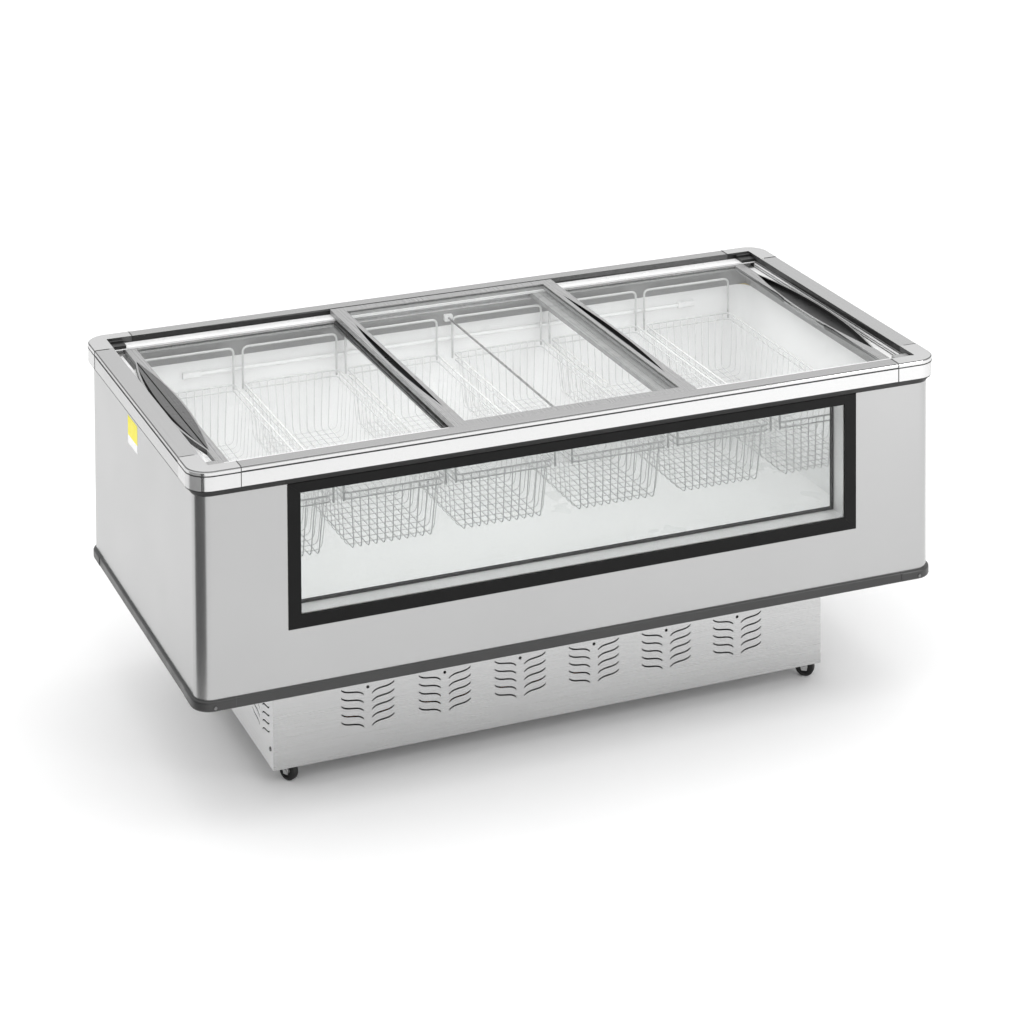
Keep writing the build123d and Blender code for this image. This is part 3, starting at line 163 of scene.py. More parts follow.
def finish(name, colour, rough, metal=0.0, cloud=4.0, tint=0.05, pore=900.0, depth=0.02, rough_play=0.06,
           grain=None, wear=0.0, wear_colour=None, coat=0.0, specular=0.5):
    """A finish with cloudy colour, patchy roughness and fine relief; optional brushed grain and edge wear."""
    graph = Graph(name)
    shader = graph.node("ShaderNodeBsdfPrincipled")
    patches = graph.noise(cloud, 4.0)
    paler = scaled(colour, 1 + tint)
    base = graph.blend(graph.spread(patches, 0.0, 1.0), scaled(colour, 1 - tint), paler)
    roughness = graph.spread(graph.noise(cloud * 3.1, 3.0), rough - rough_play, rough + rough_play)
    relief = graph.noise(pore, 2.0)
    if grain:
        lines = graph.noise(1.0, 2.0, graph.stretched(grain))
        base = graph.blend(graph.spread(lines, 0.0, 0.35), base, scaled(colour, 0.82))
        roughness = graph.math("ADD", roughness, graph.spread(lines, -0.05, 0.05))
        relief = lines
    if wear:
        rubbed = graph.spread(graph.noise(60.0, 4.0), 0.0, wear)
        edge = graph.math("MULTIPLY", graph.edges(EDGE_WEAR_WIDTH), rubbed)
        base = graph.blend(edge, base, wear_colour or scaled(colour, 1.35))
        roughness = graph.math("ADD", roughness, graph.math("MULTIPLY", edge, 0.12))
    graph.feed(shader.inputs["Base Color"], base)
    graph.feed(shader.inputs["Roughness"], roughness)
    graph.feed(shader.inputs["Metallic"], metal)
    graph.feed(shader.inputs["Specular IOR Level"], specular)
    graph.feed(shader.inputs["Coat Weight"], coat)
    graph.feed(shader.inputs["Normal"], graph.bump(relief, depth * MM))
    graph.feed(graph.output.inputs["Surface"], shader.outputs["BSDF"])
    return graph.material


def clear_glass(name, tint, reflect, dust):
    """Thin clear glass: light goes straight through, slanting views mirror more, faint dust lies on it."""
    graph = Graph(name)
    through = graph.node("ShaderNodeBsdfTransparent")
    through.inputs["Color"].default_value = tint
    gloss = graph.node("ShaderNodeBsdfGlossy")
    smears = graph.noise(7.0, 5.0)
    graph.feed(gloss.inputs["Roughness"], graph.spread(smears, 0.01, 0.05))
    graph.feed(gloss.inputs["Normal"], graph.bump(graph.noise(3.0, 1.0), 0.05 * MM))
    haze = graph.node("ShaderNodeBsdfDiffuse")
    haze.inputs["Color"].default_value = (0.95, 0.96, 0.96, 1.0)
    slant = graph.node("ShaderNodeFresnel")
    slant.inputs["IOR"].default_value = 1.5
    back = graph.node("ShaderNodeNewGeometry").outputs["Backfacing"]
    front = graph.math("SUBTRACT", 1.0, back)
    mirror = graph.node("ShaderNodeMixShader")
    share = graph.math("MULTIPLY", slant.outputs["Fac"], reflect)
    graph.feed(mirror.inputs["Fac"], graph.math("MULTIPLY", share, front))
    graph.feed(mirror.inputs[1], through.outputs["BSDF"])
    graph.feed(mirror.inputs[2], gloss.outputs["BSDF"])
    dusty = graph.node("ShaderNodeMixShader")
    graph.feed(dusty.inputs["Fac"], graph.spread(graph.noise(420.0, 4.0), 0.0, dust, 0.5, 0.8))
    graph.feed(dusty.inputs[1], mirror.outputs["Shader"])
    graph.feed(dusty.inputs[2], haze.outputs["BSDF"])
    graph.feed(graph.output.inputs["Surface"], dusty.outputs["Shader"])
    return graph.material


def label_paper(name, split):
    """Blank sticker: yellow above the split height, white below."""
    graph = Graph(name)
    shader = graph.node("ShaderNodeBsdfPrincipled")
    upper = graph.math("GREATER_THAN", graph.along("Z"), split)
    fibres = graph.spread(graph.noise(300.0, 5.0), 0.0, 1.0)
    yellow = graph.blend(fibres, (0.86, 0.75, 0.005, 1.0), (0.94, 0.85, 0.02, 1.0))
    white = graph.blend(fibres, (0.84, 0.84, 0.84, 1.0), (0.93, 0.93, 0.93, 1.0))
    graph.feed(shader.inputs["Base Color"], graph.blend(upper, white, yellow))
    graph.feed(shader.inputs["Roughness"], graph.spread(graph.noise(40.0), 0.35, 0.5))
    graph.feed(shader.inputs["Normal"], graph.bump(fibres, 0.01 * MM))
    graph.feed(graph.output.inputs["Surface"], shader.outputs["BSDF"])
    return graph.material


ALONG_X = (3.0, 900.0, 900.0)
ALONG_Y = (900.0, 3.0, 900.0)

looks = {
    # sheet metal and foam
    "painted_steel": finish("painted_steel", grey(176), 0.25, metal=0.85, cloud=2.2, tint=0.02, pore=1400.0,
                            depth=0.005, rough_play=0.02, wear=0.12, wear_colour=grey(215)),
    "galvanised": finish("galvanised", grey(170), 0.45, metal=0.9, cloud=25.0, tint=0.12, depth=0.02),
    "foam": finish("foam", (0.72, 0.58, 0.28, 1.0), 0.85, cloud=30.0, tint=0.1, pore=350.0, depth=0.4),
    "liner_white": finish("liner_white", grey(246), 0.32, cloud=2.0, tint=0.015, pore=700.0, depth=0.02),
    "copper_tube": finish("copper_tube", (0.55, 0.26, 0.14, 1.0), 0.28, metal=1.0, cloud=30.0, tint=0.15),
    # top frame, tracks and lids
    "aluminium": finish("aluminium", grey(184), 0.2, metal=0.9, cloud=3.0, tint=0.015, grain=ALONG_X,
                        depth=0.003, rough_play=0.03, wear=0.3, wear_colour=grey(240)),
    # grain along the end rails, with a lighter tone painted in for the light falling on their tops
    "aluminium_side_painted_lighter": finish("aluminium_side_painted_lighter", grey(194), 0.2, metal=0.9, cloud=3.0, tint=0.015,
                             grain=ALONG_Y, depth=0.003, rough_play=0.03, wear=0.3,
                             wear_colour=grey(240)),
    # a lighter, glossier copy of the aluminium for the fascia faces: a painted highlight
    "fascia_painted_highlight": finish("fascia_painted_highlight", grey(212), 0.14, metal=0.9, cloud=3.0, tint=0.01, pore=1800.0,
                            depth=0.003, rough_play=0.02, wear=0.3, wear_colour=grey(250)),
    "lip_shadow": finish("lip_shadow", grey(104), 0.3, metal=0.6, cloud=6.0, tint=0.05, pore=1500.0,
                         depth=0.005),
    "cap_plastic": finish("cap_plastic", grey(200), 0.22, metal=0.6, cloud=8.0, tint=0.015, pore=1600.0,
                          depth=0.006, rough_play=0.03, wear=0.3, wear_colour=grey(235), coat=0.2),
    "gasket_black": finish("gasket_black", grey(24), 0.5, cloud=12.0, tint=0.25, pore=500.0, depth=0.05),
    "frame_grey": finish("frame_grey", grey(146), 0.32, cloud=5.0, tint=0.03, grain=ALONG_X, depth=0.004),
    "track_white": finish("track_white", grey(244), 0.25, cloud=9.0, tint=0.02, pore=800.0, depth=0.01),
    "stop_black": finish("stop_black", grey(38), 0.38, cloud=14.0, tint=0.2, pore=700.0, depth=0.05),
    # window
    "window_black": finish("window_black", grey(16), 0.5, cloud=6.0, tint=0.1, pore=1500.0, depth=0.02,
                           wear=0.4, wear_colour=grey(70), specular=0.2),
    "clear_glass": clear_glass("clear_glass", (0.99, 0.994, 0.992, 1.0), 0.8, 0.03),
    "window_glass": clear_glass("window_glass", (0.915, 0.92, 0.918, 1.0), 0.8, 0.03),
    "spacer_light": finish("spacer_light", grey(232), 0.42, metal=0.2, cloud=9.0, tint=0.02, grain=ALONG_X,
                           depth=0.004),
    # bumper band and plinth
    "bumper_grey": finish("bumper_grey", grey(52), 0.36, cloud=5.0, tint=0.1, pore=1200.0, depth=0.03,
                          wear=0.8, wear_colour=grey(120)),
    "stainless": finish("stainless", grey(196), 0.26, metal=1.0, cloud=1.6, tint=0.03, grain=ALONG_X,
                        depth=0.004, rough_play=0.03, wear=0.4, wear_colour=grey(235)),
    # the plinth's end panels: grain along Y, and a lighter, less metallic copy painted in for the light on
    # the ends
    "stainless_end_painted_lighter": finish("stainless_end_painted_lighter", grey(236), 0.4, metal=0.45, cloud=1.6, tint=0.03, grain=ALONG_Y,
                            depth=0.004, rough_play=0.03, wear=0.4, wear_colour=grey(240)),
    "screw_zinc": finish("screw_zinc", grey(120), 0.3, metal=1.0, cloud=90.0, tint=0.15, pore=2000.0),
    # machine and controls
    "compressor_black": finish("compressor_black", grey(30), 0.22, cloud=20.0, tint=0.2, coat=0.5),
    "rubber_black": finish("rubber_black", grey(34), 0.6, cloud=40.0, tint=0.2, pore=1500.0, depth=0.05),
    "condenser_black": finish("condenser_black", grey(48), 0.5, cloud=30.0, tint=0.2, pore=900.0),
    "cord_black": finish("cord_black", grey(32), 0.5, cloud=40.0, tint=0.15, pore=1200.0, depth=0.03),
    "control_black": finish("control_black", grey(44), 0.55, cloud=20.0, tint=0.1, pore=1100.0, depth=0.06,
                            wear=0.5, wear_colour=grey(90)),
    "control_grey": finish("control_grey", grey(150), 0.35, cloud=30.0, tint=0.05, pore=1500.0),
    "switch_red": finish("switch_red", (0.42, 0.02, 0.015, 1.0), 0.18, cloud=60.0, tint=0.1, coat=0.6),
    # tank fittings and baskets
    "lamp_white": finish("lamp_white", grey(244), 0.2, cloud=20.0, tint=0.02, coat=0.5),
    "fitting_white": finish("fitting_white", grey(240), 0.3, cloud=30.0, tint=0.03, pore=1200.0),
    "rod_grey": finish("rod_grey", grey(165), 0.28, metal=0.9, cloud=20.0, tint=0.06, grain=ALONG_Y),
    "basket_white": finish("basket_white", grey(214), 0.3, cloud=12.0, tint=0.03, pore=600.0, depth=0.04),
    # lids
    "lid_frame_grey": finish("lid_frame_grey", grey(158), 0.28, metal=0.2, cloud=6.0, tint=0.02,
                             grain=ALONG_Y, depth=0.004, rough_play=0.03, wear=0.3,
                             wear_colour=grey(205)),
    # casters and fan
    "zinc": finish("zinc", grey(190), 0.3, metal=1.0, cloud=60.0, tint=0.12, pore=800.0, depth=0.03),
    "tyre_black": finish("tyre_black", grey(30), 0.6, cloud=60.0, tint=0.2, pore=1300.0, depth=0.08),
    "wheel_hub": finish("wheel_hub", grey(205), 0.4, cloud=60.0, tint=0.05, pore=900.0, depth=0.04),
    "fan_grey": finish("fan_grey", grey(120), 0.4, metal=0.6, cloud=30.0, tint=0.1, pore=900.0),
    # faces in the shade of the profiles
    "profile_dark": finish("profile_dark", grey(84), 0.3, metal=0.3, cloud=6.0, tint=0.05,
                           grain=ALONG_X, depth=0.004),
    "lid_stile_dark": finish("lid_stile_dark", grey(84), 0.3, metal=0.2, cloud=6.0, tint=0.04, grain=ALONG_Y,
                             depth=0.004, wear=0.3, wear_colour=grey(130)),
    "pocket_black": finish("pocket_black", grey(18), 0.32, cloud=9.0, tint=0.3, pore=700.0, depth=0.04),
}

label_low, label_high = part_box("energy_label")
LABEL_WHITE = 0.3            # the lower part of the sticker that is white
label_split = label_low.z + LABEL_WHITE * (label_high.z - label_low.z)
looks["label"] = label_paper("label", label_split)

# finishes that differ from the record's slot of the same node
own_look = {
    # the end panels take the painted lighter copy of the stainless
    "plinth_end_panels": "stainless_end_painted_lighter",
    "window_outer_pane": "window_glass",
    "window_inner_pane": "window_glass",
}
slot_of = {part["node"]: part["material_slot"] for part in frame["record"]["subparts"]}

for name, node in nodes.items():
    look = own_look.get(name, slot_of[name])
    node.data.materials.clear()
    node.data.materials.append(looks[look])


def paint(node_name, look, test):
    """Gives another finish to those faces of a CAD node whose middle and normal pass a test."""
    mesh = nodes[node_name].data
    index = mesh.materials.find(look)
    if index < 0:
        mesh.materials.append(looks[look])
        index = len(mesh.materials) - 1
    for face in mesh.polygons:
        if test(face.center, face.normal):
            face.material_index = index


# ---------------------------------------------------------------- painted faces of the CAD nodes
frame_top = cad_high.z
groove_low = frame_top - 14.2 * MM
groove_high = frame_top - 10.8 * MM
skirt_low = frame_top - 47.4 * MM
opening = Vector((0.948, 0.464))       # half the mouth of the top frame
WALL_REACH = 2 * MM
RAIL_REACH = 30 * MM
LIP_CLEAR = 4 * MM


def in_groove(middle, normal):
    return groove_low < middle.z < groove_high


def inner_wall(middle, normal):
    inside_x = abs(middle.x) < opening.x + WALL_REACH
    inside_y = abs(middle.y) < opening.y + WALL_REACH
    return inside_x and inside_y and abs(normal.z) < 0.5 and middle.z > groove_low - 10 * MM


def on_fascia(middle, normal):
    return abs(middle.y) > opening.y + RAIL_REACH and abs(normal.y) > 0.3 and abs(normal.z) < 0.5


def on_lip_rounding(middle, normal):
    return middle.z > groove_high + LIP_CLEAR and 0.45 < normal.z < 0.93


def on_side_rail(middle, normal):
    return abs(middle.x) > opening.x and abs(normal.z) > 0.5


# the end rails' tops: grain along Y and a painted lighter tone
paint("frame_rails", "aluminium_side_painted_lighter", on_side_rail)
for ring in ("frame_rails", "frame_corner_caps"):
    # a painted highlight on the fascia faces
    paint(ring, "fascia_painted_highlight", on_fascia)
    # painted shade on the inner walls of the frame
    paint(ring, "profile_dark", inner_wall)
    paint(ring, "gasket_black", in_groove)
    paint(ring, "lip_shadow", on_lip_rounding)

# the two front blocks of the upper track are grey, the rear ones black
paint("track_end_stops", "lid_frame_grey", lambda middle, normal: middle.y < 0)

ledge_z = nodes["inner_frame"].bound_box[1][2]
STEP_HEIGHT = 18.5 * MM
SLOT_HEIGHT = 17.5 * MM
REAR = 0.4


def inner_steps(middle, normal):
    return abs(normal.z) < 0.5 and middle.z > ledge_z - STEP_HEIGHT


def rear_slot(middle, normal):
    in_slot = ledge_z - SLOT_HEIGHT < middle.z < ledge_z - 0.5 * MM
    return in_slot and middle.y > REAR and (normal.y < -0.5 or normal.z > 0.5)


# the steps of the inner frame get painted shade, a darker grey, but the slot of the lower lids is lined white
# along the back
paint("inner_frame", "profile_dark", inner_steps)
paint("inner_frame", "track_white", rear_slot)

# finger grips sunk in the lids
middle_low, middle_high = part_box("lid_middle_frame")
left_low, left_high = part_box("lid_left_frame")
right_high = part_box("lid_right_frame")[1]
GRIP_HALF = 0.3255
MIDDLE_GRIP = (6.5 * MM, 25.5 * MM)    # how far in from the stile's edge the pocket starts and ends
OUTER_GRIP = (4 * MM, 66 * MM)
INNER_STILE = 46.5 * MM


def sunk_in(low, high, middle, normal):
    """Is a face part of a pocket in a lid, between the lid's top and bottom faces?"""
    below_top = low.z + 1 * MM < middle.z < high.z - 0.05 * MM
    return abs(middle.y) < GRIP_HALF and below_top and normal.z > -0.5


def middle_grip(middle, normal):
    across = middle_high.x - abs(middle.x)
    return MIDDLE_GRIP[0] < across < MIDDLE_GRIP[1] and sunk_in(middle_low, middle_high, middle, normal)


def outer_grip(middle, normal):
    reach = max(right_high.x - middle.x, 0.0) if middle.x > 0 else max(middle.x - left_low.x, 0.0)
    return OUTER_GRIP[0] < reach < OUTER_GRIP[1] and sunk_in(left_low, left_high, middle, normal)


# the grip pockets are painted near black: painted shade in the recesses
paint("lid_middle_frame", "pocket_black", middle_grip)
paint("lid_left_frame", "pocket_black", outer_grip)
paint("lid_right_frame", "pocket_black", outer_grip)
# the left lid's inner stile is painted a darker grey: painted shade
paint("lid_left_frame", "lid_stile_dark", lambda middle, normal: middle.x > left_high.x - INNER_STILE)


# ---------------------------------------------------------------- mesh building
def make_piece(name, vertices, faces, look, body, smooth=True):
    """A mesh object in the row frame that rides on a body."""
    mesh = bpy.data.meshes.new(name)
    mesh.from_pydata([tuple(v) for v in vertices], [], faces)
    mesh.validate()
    mesh.update()
    for face in mesh.polygons:
        face.use_smooth = smooth
    piece = bpy.data.objects.new(name, mesh)
    bpy.context.scene.collection.objects.link(piece)
    mesh.materials.append(looks[look])
    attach(piece, body)
    return piece


def rounded_path(points, radius, steps):
    """An open polyline with its corners turned into arcs."""
    path = [Vector(points[0])]
    for before, corner, after in zip(points, points[1:], points[2:]):
        before, corner, after = Vector(before), Vector(corner), Vector(after)
        into = (before - corner).normalized()
        out = (after - corner).normalized()
        start = corner + into * radius
        end = corner + out * radius
        for i in range(steps + 1):
            t = i / steps
            path.append(start * (1 - t) ** 2 + corner * 2 * t * (1 - t) + end * t ** 2)
    path.append(Vector(points[-1]))
    return path


def sweep(vertices, faces, path, radius, sides=8, closed=False):
    """Adds a round wire along a path to the lists of vertices and faces."""
    first = len(vertices)
    count = len(path)
    normal = None
    for i, point in enumerate(path):
        ahead = path[(i + 1) % count] if closed or i + 1 < count else point
        behind = path[i - 1] if closed or i > 0 else point
        tangent = (ahead - behind).normalized()
        if normal is None:
            helper = Vector((0, 0, 1)) if abs(tangent.z) < 0.9 else Vector((1, 0, 0))
            normal = tangent.cross(helper).normalized()
        normal = (normal - tangent * normal.dot(tangent)).normalized()
        side = tangent.cross(normal)
        for j in range(sides):
            angle = 2 * math.pi * j / sides
            vertices.append(point + (normal * math.cos(angle) + side * math.sin(angle)) * radius)
    rings = count if closed else count - 1
    for i in range(rings):
        here = first + i * sides
        there = first + ((i + 1) % count) * sides
        for j in range(sides):
            k = (j + 1) % sides
            faces.append((here + j, here + k, there + k, there + j))
    if not closed:
        faces.append(tuple(first + j for j in reversed(range(sides))))
        faces.append(tuple(first + (count - 1) * sides + j for j in range(sides)))


def ring_path(centre_x, half_x, half_y, z, corner, steps=5):
    """A closed rounded rectangle at one height."""
    path = []
    for sx, sy, turn in ((1, 1, 0), (-1, 1, 90), (-1, -1, 180), (1, -1, 270)):
        for i in range(steps + 1):
            angle = math.radians(turn + 90 * i / steps)
            x = centre_x + sx * (half_x - corner) + corner * math.cos(angle)
            y = sy * (half_y - corner) + corner * math.sin(angle)
            path.append(Vector((x, y, z)))
    return path


# ---------------------------------------------------------------- wire baskets
WIRE_PITCH = 20 * MM
CROSS_PITCH = 30 * MM
THIN_WIRE = 1.45 * MM
CROSS_WIRE = 0.9 * MM
RIM_WIRE = 2.5 * MM
LOOP_WIRE = 3.0 * MM
RIM_RISE = 149 * MM          # rim above the basket's floor
RIM_CORNER = 16 * MM
SECOND_RIM_DROP = 16 * MM
SECOND_RIM_CORNER = 14 * MM
WIRE_MARGIN = 10 * MM        # between the last wire and the corner
TAPER = 12 * MM              # how much each side leans in towards the floor
FOOT_BEND = 16 * MM


def wire_basket(number):
    """Welded wires in place of the CAD tray: rims, hairpin wires both ways and two tall end loops."""
    name = f"basket_{number}"
    low, high = (Vector(corner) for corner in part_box(name))
    centre = (low.x + high.x) / 2
    rim_x = (high.x - low.x) / 2 - LOOP_WIRE
    loop_y = (high.y - low.y) / 2 - LOOP_WIRE
    rim_y = loop_y - LOOP_WIRE - RIM_WIRE / 2
    floor_z = low.z + THIN_WIRE
    rim_z = low.z + RIM_RISE
    top_x = rim_x - RIM_WIRE - THIN_WIRE
    top_y = rim_y - RIM_WIRE - THIN_WIRE
    foot_x = top_x - TAPER
    foot_y = top_y - TAPER
    vertices, faces = [], []
    # square rim and a second rim wire below it
    rim = ring_path(centre, rim_x - RIM_WIRE / 2, rim_y, rim_z, RIM_CORNER)
    sweep(vertices, faces, rim, RIM_WIRE, closed=True)
    lean = TAPER * SECOND_RIM_DROP / (rim_z - floor_z) - 2 * THIN_WIRE
    rim = ring_path(centre, top_x - lean, top_y - lean, rim_z - SECOND_RIM_DROP, SECOND_RIM_CORNER)
    sweep(vertices, faces, rim, RIM_WIRE * 0.8, closed=True)
    # hairpin wires down one side, across the floor and up the other
    across = int(2 * (foot_x - WIRE_MARGIN) / WIRE_PITCH)
    for i in range(across + 1):
        share = (i - across / 2) * WIRE_PITCH / foot_x
        points = [
            (centre + share * top_x, -top_y, rim_z),
            (centre + share * foot_x, -foot_y, floor_z),
            (centre + share * foot_x, foot_y, floor_z),
            (centre + share * top_x, top_y, rim_z),
        ]
        sweep(vertices, faces, rounded_path(points, FOOT_BEND, 4), THIN_WIRE, 6)
    # thinner wires the other way, lying on them
    along = int(2 * (foot_y - WIRE_MARGIN) / CROSS_PITCH)
    for i in range(along + 1):
        share = (i - along / 2) * CROSS_PITCH / foot_y
        points = [
            (centre - top_x, share * top_y, rim_z),
            (centre - foot_x, share * foot_y, floor_z + 2 * THIN_WIRE),
            (centre + foot_x, share * foot_y, floor_z + 2 * THIN_WIRE),
            (centre + top_x, share * top_y, rim_z),
        ]
        sweep(vertices, faces, rounded_path(points, FOOT_BEND, 4), CROSS_WIRE, 6)
    # a tall loop at each end hooks over the rests
    for side in (-1, 1):
        points = [
            (centre - rim_x, side * loop_y, rim_z - SECOND_RIM_DROP),
            (centre - rim_x, side * loop_y, high.z - LOOP_WIRE),
            (centre + rim_x, side * loop_y, high.z - LOOP_WIRE),
            (centre + rim_x, side * loop_y, rim_z - SECOND_RIM_DROP),
        ]
        sweep(vertices, faces, rounded_path(points, RIM_CORNER, 6), LOOP_WIRE, 10)
    piece = make_piece(f"{name}_wires", vertices, faces, "basket_white", name)
    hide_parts(name)


for number in range(1, 7):
    wire_basket(number)


# ---------------------------------------------------------------- joints of the corner caps
CAP_FROM = Vector((0.880, 0.391))      # the corner caps cover the frame beyond these
SEAM_WIDTH = 2.2 * MM
SEAM_PROUD = 0.3 * MM
RAIL_INSET = 0.8 * MM


def seam_profile():
    """The outline across a rail, over the top and down the fascia, as pairs of reach and height."""
    top = frame_top + SEAM_PROUD
    reach = -RAIL_INSET + SEAM_PROUD
    return [
        (-40 * MM, top),
        (reach - 4.5 * MM, top),
        (reach - 1.2 * MM, top - 1.4 * MM),
        (reach, top - 4.8 * MM),
        (reach, groove_high),
        (reach - 2.5 * MM, groove_high),
        (reach - 2.5 * MM, groove_low),
        (reach, groove_low),
        (reach, frame_top - 47 * MM),
    ]


def seam_strip(vertices, faces, place):
    """A thin dark strip that follows the profile; place turns (reach, height, across) into a point."""
    first = len(vertices)
    outline = seam_profile()
    for reach, height in outline:
        for across in (0.0, SEAM_WIDTH):
            vertices.append(place(reach, height, across))
            vertices.append(place(reach - SEAM_PROUD * 2, height - SEAM_PROUD * 2, across))
    for i in range(len(outline) - 1):
        a = first + 4 * i
        b = a + 4
        faces.append((a, a + 2, b + 2, b))
        faces.append((a + 1, b + 1, b + 3, a + 3))
        faces.append((a, b, b + 1, a + 1))
        faces.append((a + 2, a + 3, b + 3, b + 2))
    for a in (first, first + 4 * (len(outline) - 1)):
        faces.append((a, a + 1, a + 3, a + 2))


def cap_seams():
    """The eight joints between rails and caps."""
    vertices, faces = [], []
    for sx in (-1, 1):
        for sy in (-1, 1):

            def on_long_rail(reach, height, across):
                return Vector((sx * (CAP_FROM.x - across), sy * (cad_high.y + reach), height))

            def on_end_rail(reach, height, across):
                return Vector((sx * (cad_high.x + reach), sy * (CAP_FROM.y - across), height))

            seam_strip(vertices, faces, on_long_rail)
            seam_strip(vertices, faces, on_end_rail)
    make_piece("frame_cap_joints", vertices, faces, "gasket_black", "cabinet", smooth=False)


cap_seams()


# ---------------------------------------------------------------- seals round the top frame
FRAME_CORNER = 56 * MM


def round_seal(name, inset, z, radius):
    """A black cord that follows the frame's outline."""
    vertices, faces = [], []
    path = ring_path(0.0, cad_high.x - inset, cad_high.y - inset, z, FRAME_CORNER - inset, 12)
    sweep(vertices, faces, path, radius, 8, closed=True)
    make_piece(name, vertices, faces, "gasket_black", "cabinet")


round_seal("frame_groove_seal", 1.2 * MM, (groove_low + groove_high) / 2, 2.1 * MM)
round_seal("frame_skirt_seal", 4.5 * MM, skirt_low - 2 * MM, 3.2 * MM)


# ---------------------------------------------------------------- beads at both ends of the lower track
BEAD_RADIUS = 0.8 * MM
BEAD_HALF = 0.415


def end_beads():
    """Two thin dark beads up each end of the lower track."""
    strips_low, strips_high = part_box("track_strips")
    vertices, faces = [], []
    for sx in (-1, 1):
        x = sx * (strips_high.x - 1.4 * MM)
        for z in (strips_low.z + 1.6 * MM, strips_low.z + 7.5 * MM):
            path = [Vector((x, BEAD_HALF * (i / 6 - 1), z)) for i in range(13)]
            sweep(vertices, faces, path, BEAD_RADIUS, 6)
    make_piece("track_end_beads", vertices, faces, "gasket_black", "cabinet")


end_beads()


# ---------------------------------------------------------------- covers in the left lid's grip pocket
ARC_STEPS = 40
CHORD_STEPS = 12
COVER_BEVEL = 0.6 * MM


def pocket_cover(name, chord, apex, half):
    """A flat block in the left lid's pocket: chord and the arc's apex are given in from the lid's edge."""
    x_chord = left_low.x + chord
    x_apex = left_low.x + apex
    low = left_low.z + 3.1 * MM
    high = left_high.z - 0.15 * MM
    rise = x_apex - x_chord
    radius = (half ** 2 + rise ** 2) / (2 * abs(rise))
    sign = 1 if rise > 0 else -1
    outline = []
    for i in range(ARC_STEPS + 1):
        y = -half + 2 * half * i / ARC_STEPS
        outline.append((x_chord + sign * (math.sqrt(radius ** 2 - y ** 2) - (radius - abs(rise))), y))
    for i in range(CHORD_STEPS + 1):
        outline.append((x_chord, half * 0.98 * (1 - 2 * i / CHORD_STEPS)))
    count = len(outline)
    middle_x = sum(x for x, y in outline) / count
    vertices, faces = [], []
    for z, shrink in ((low, 0.0), (high - COVER_BEVEL, 0.0), (high, COVER_BEVEL)):
        for x, y in outline:
            inward = shrink if x > middle_x else -shrink
            vertices.append((x - inward, y * (1 - shrink / half), z))
    for layer in range(2):
        for i in range(count):
            j = (i + 1) % count
            a = layer * count
            faces.append((a + i, a + j, a + count + j, a + count + i))
    faces.append(tuple(reversed(range(count))))
    faces.append(tuple(2 * count + i for i in range(count)))
    # the covers take the stile's painted shade grey
    make_piece(name, vertices, faces, "lid_stile_dark", "lid_left", smooth=False)


# a slit stays open between the two
pocket_cover("lid_left_grip_fill", 39.2 * MM, 64.6 * MM, 0.322)
pocket_cover("lid_left_grip_cover", 36.2 * MM, 14.5 * MM, 0.318)


# ---------------------------------------------------------------- caster wheels: tyre and hub
TYRE_INNER = 0.68            # share of the wheel's radius


for corner in ("front_left", "front_right", "rear_left", "rear_right"):
    wheel = nodes[f"caster_wheel_{corner}"]
    low, high = (Vector(c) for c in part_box(f"caster_wheel_{corner}"))
    middle = (low + high) / 2
    tyre_inner = TYRE_INNER * (high.z - low.z) / 2
    wheel.data.materials.clear()
    wheel.data.materials.append(looks["tyre_black"])
    wheel.data.materials.append(looks["wheel_hub"])
    for face in wheel.data.polygons:
        reach = max((wheel.data.vertices[v].co - middle).length for v in face.vertices)
        face.material_index = 1 if reach < tyre_inner else 0


# ---------------------------------------------------------------- studio
def softbox(name, at, target, size, power):
    """A white rectangular light that faces a target."""
    light = bpy.data.lights.new(name, "AREA")
    light.shape = "RECTANGLE"
    light.size, light.size_y = size
    light.energy = power
    lamp = bpy.data.objects.new(name, light)
    bpy.context.scene.collection.objects.link(lamp)
    lamp.location = at
    lamp.rotation_euler = (Vector(target) - Vector(at)).to_track_quat("-Z", "Y").to_euler()
    return lamp


FLOOR_REACH = 60.0
FLOOR_Z = -0.5 * MM
floor_mesh = bpy.data.meshes.new("floor")
corners = [(-1, -1), (1, -1), (1, 1), (-1, 1)]
corners = [(x * FLOOR_REACH, y * FLOOR_REACH, FLOOR_Z) for x, y in corners]
floor_mesh.from_pydata(corners, [], [(0, 1, 2, 3)])
floor = bpy.data.objects.new("floor", floor_mesh)
bpy.context.scene.collection.objects.link(floor)
floor_pale = finish("floor_pale", grey(250), 0.9, cloud=1.5, tint=0.01, pore=200.0, specular=0.1)
floor_mesh.materials.append(floor_pale)

# the sky is brighter overhead than at the horizon
HORIZON = 0.55
ZENITH = 1.45
world = bpy.data.worlds.new("studio")
bpy.context.scene.world = world
world.use_nodes = True
sky = world.node_tree
background = sky.nodes["Background"]
direction = sky.nodes.new("ShaderNodeTexCoord")
parts = sky.nodes.new("ShaderNodeSeparateXYZ")
rise = sky.nodes.new("ShaderNodeMapRange")
sky.links.new(direction.outputs["Generated"], parts.inputs["Vector"])
sky.links.new(parts.outputs["Z"], rise.inputs["Value"])
sky.links.new(rise.outputs["Result"], background.inputs["Strength"])
rise.inputs["From Min"].default_value = 0.0
rise.inputs["From Max"].default_value = 0.9
rise.inputs["To Min"].default_value = HORIZON
rise.inputs["To Max"].default_value = ZENITH
background.inputs["Color"].default_value = (1.0, 1.0, 1.0, 1.0)

softbox("overhead", (0.0, -0.6, 4.2), (0.0, 0.0, 0.6), (4.0, 3.0), 20.0)
softbox("key_right", (3.6, -4.6, 1.6), (0.8, -0.5, 0.5), (1.6, 1.6), 60.0)
tank_fill = softbox("tank_fill", (0.0, 0.0, 0.80), (0.0, 0.0, 0.0), (1.7, 0.7), 2.3)
tank_fill.visible_camera = False
tank_fill.visible_glossy = False


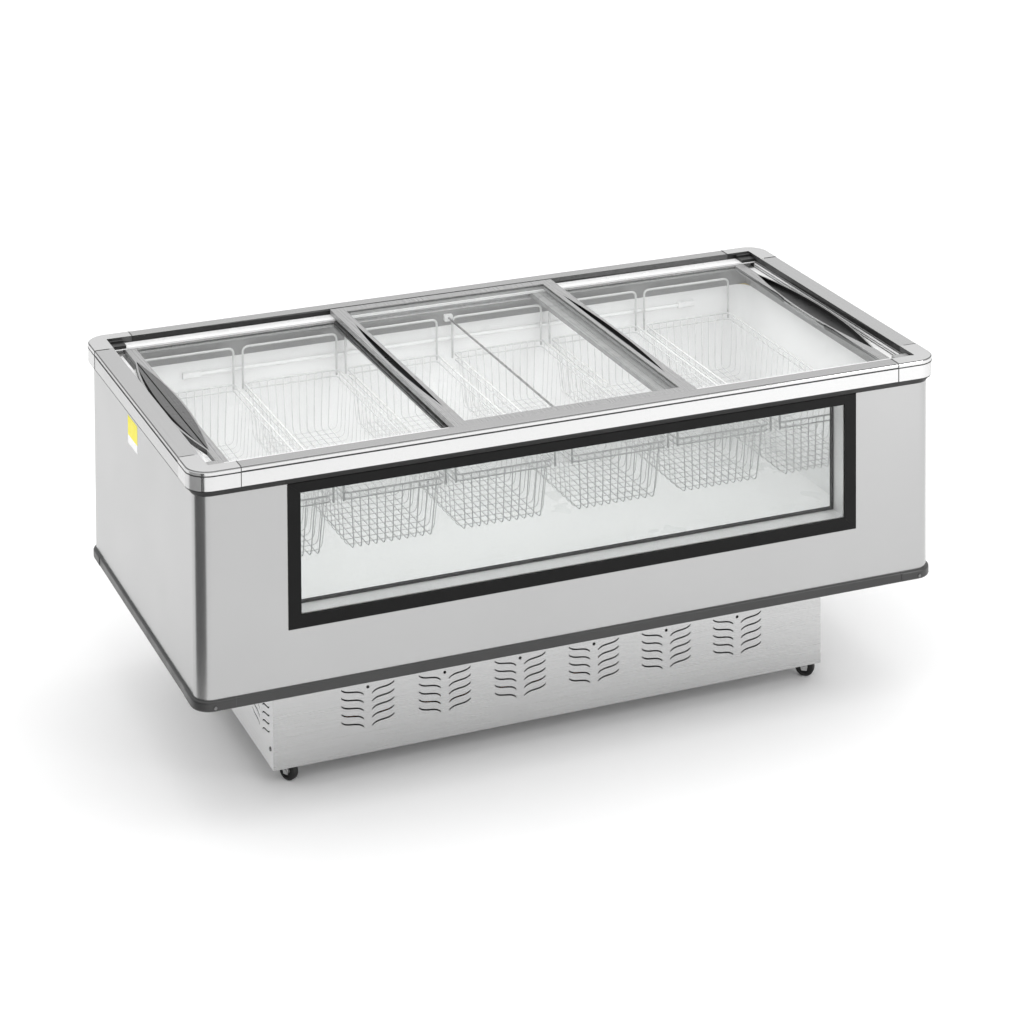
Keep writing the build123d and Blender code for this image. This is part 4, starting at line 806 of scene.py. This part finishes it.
def flag(name, at, target, size):
    """A black card outside the picture that draws dark reflections into the polished parts."""
    width, height = size
    mesh = bpy.data.meshes.new(name)
    corners = [(-1, -1), (1, -1), (1, 1), (-1, 1)]
    mesh.from_pydata([(x * width / 2, y * height / 2, 0) for x, y in corners], [], [(0, 1, 2, 3)])
    card = bpy.data.objects.new(name, mesh)
    bpy.context.scene.collection.objects.link(card)
    card.location = at
    card.rotation_euler = (Vector(target) - Vector(at)).to_track_quat("Z", "Y").to_euler()
    mesh.materials.append(looks["pocket_black"])
    card.visible_camera = False
    card.visible_diffuse = False
    card.visible_shadow = False


flag("flag_left", (-1.54, -0.64, 0.36), (-0.98, -0.48, 0.36), (1.1, 0.72))

# ---------------------------------------------------------------- camera
LENS = 101.6
STATION = Vector((-2.8318, -6.8525, 3.4991))
YAW = math.radians(21.86)
PITCH = math.radians(-2.9)
ROLL = math.radians(-0.35)
SHIFT_X = 0.0395
SHIFT_Y = -0.9992

camera_data = bpy.data.cameras.new("camera")
camera = bpy.data.objects.new("camera", camera_data)
bpy.context.scene.collection.objects.link(camera)
camera_data.lens = LENS
camera_data.sensor_width = 36.0
camera_data.clip_end = 200.0
camera.location = STATION
level = Matrix.Rotation(-YAW, 4, "Z") @ Matrix.Rotation(math.radians(90) + PITCH, 4, "X")
camera.rotation_euler = (level @ Matrix.Rotation(ROLL, 4, "Z")).to_euler()
bpy.context.scene.camera = camera
# the lens is shifted while the camera stands at its station's height, and straight elsewhere
STATION_REACH = 0.03
for channel, amount in (("shift_x", SHIFT_X), ("shift_y", SHIFT_Y)):
    curve = camera_data.driver_add(channel)
    for modifier in list(curve.modifiers):
        curve.modifiers.remove(modifier)
    stops = [(STATION.z - STATION_REACH, 0.0), (STATION.z, amount), (STATION.z + STATION_REACH, 0.0)]
    curve.keyframe_points.add(len(stops))
    for point, stop in zip(curve.keyframe_points, stops):
        point.co = stop
        point.interpolation = "LINEAR"
    curve.update()
    curve.driver.type = "SUM"
    camera_height = curve.driver.variables.new()
    camera_height.type = "TRANSFORMS"
    camera_height.targets[0].id = camera
    camera_height.targets[0].transform_type = "LOC_Z"
    camera_height.targets[0].transform_space = "WORLD_SPACE"

bpy.context.scene.view_settings.view_transform = "Standard"
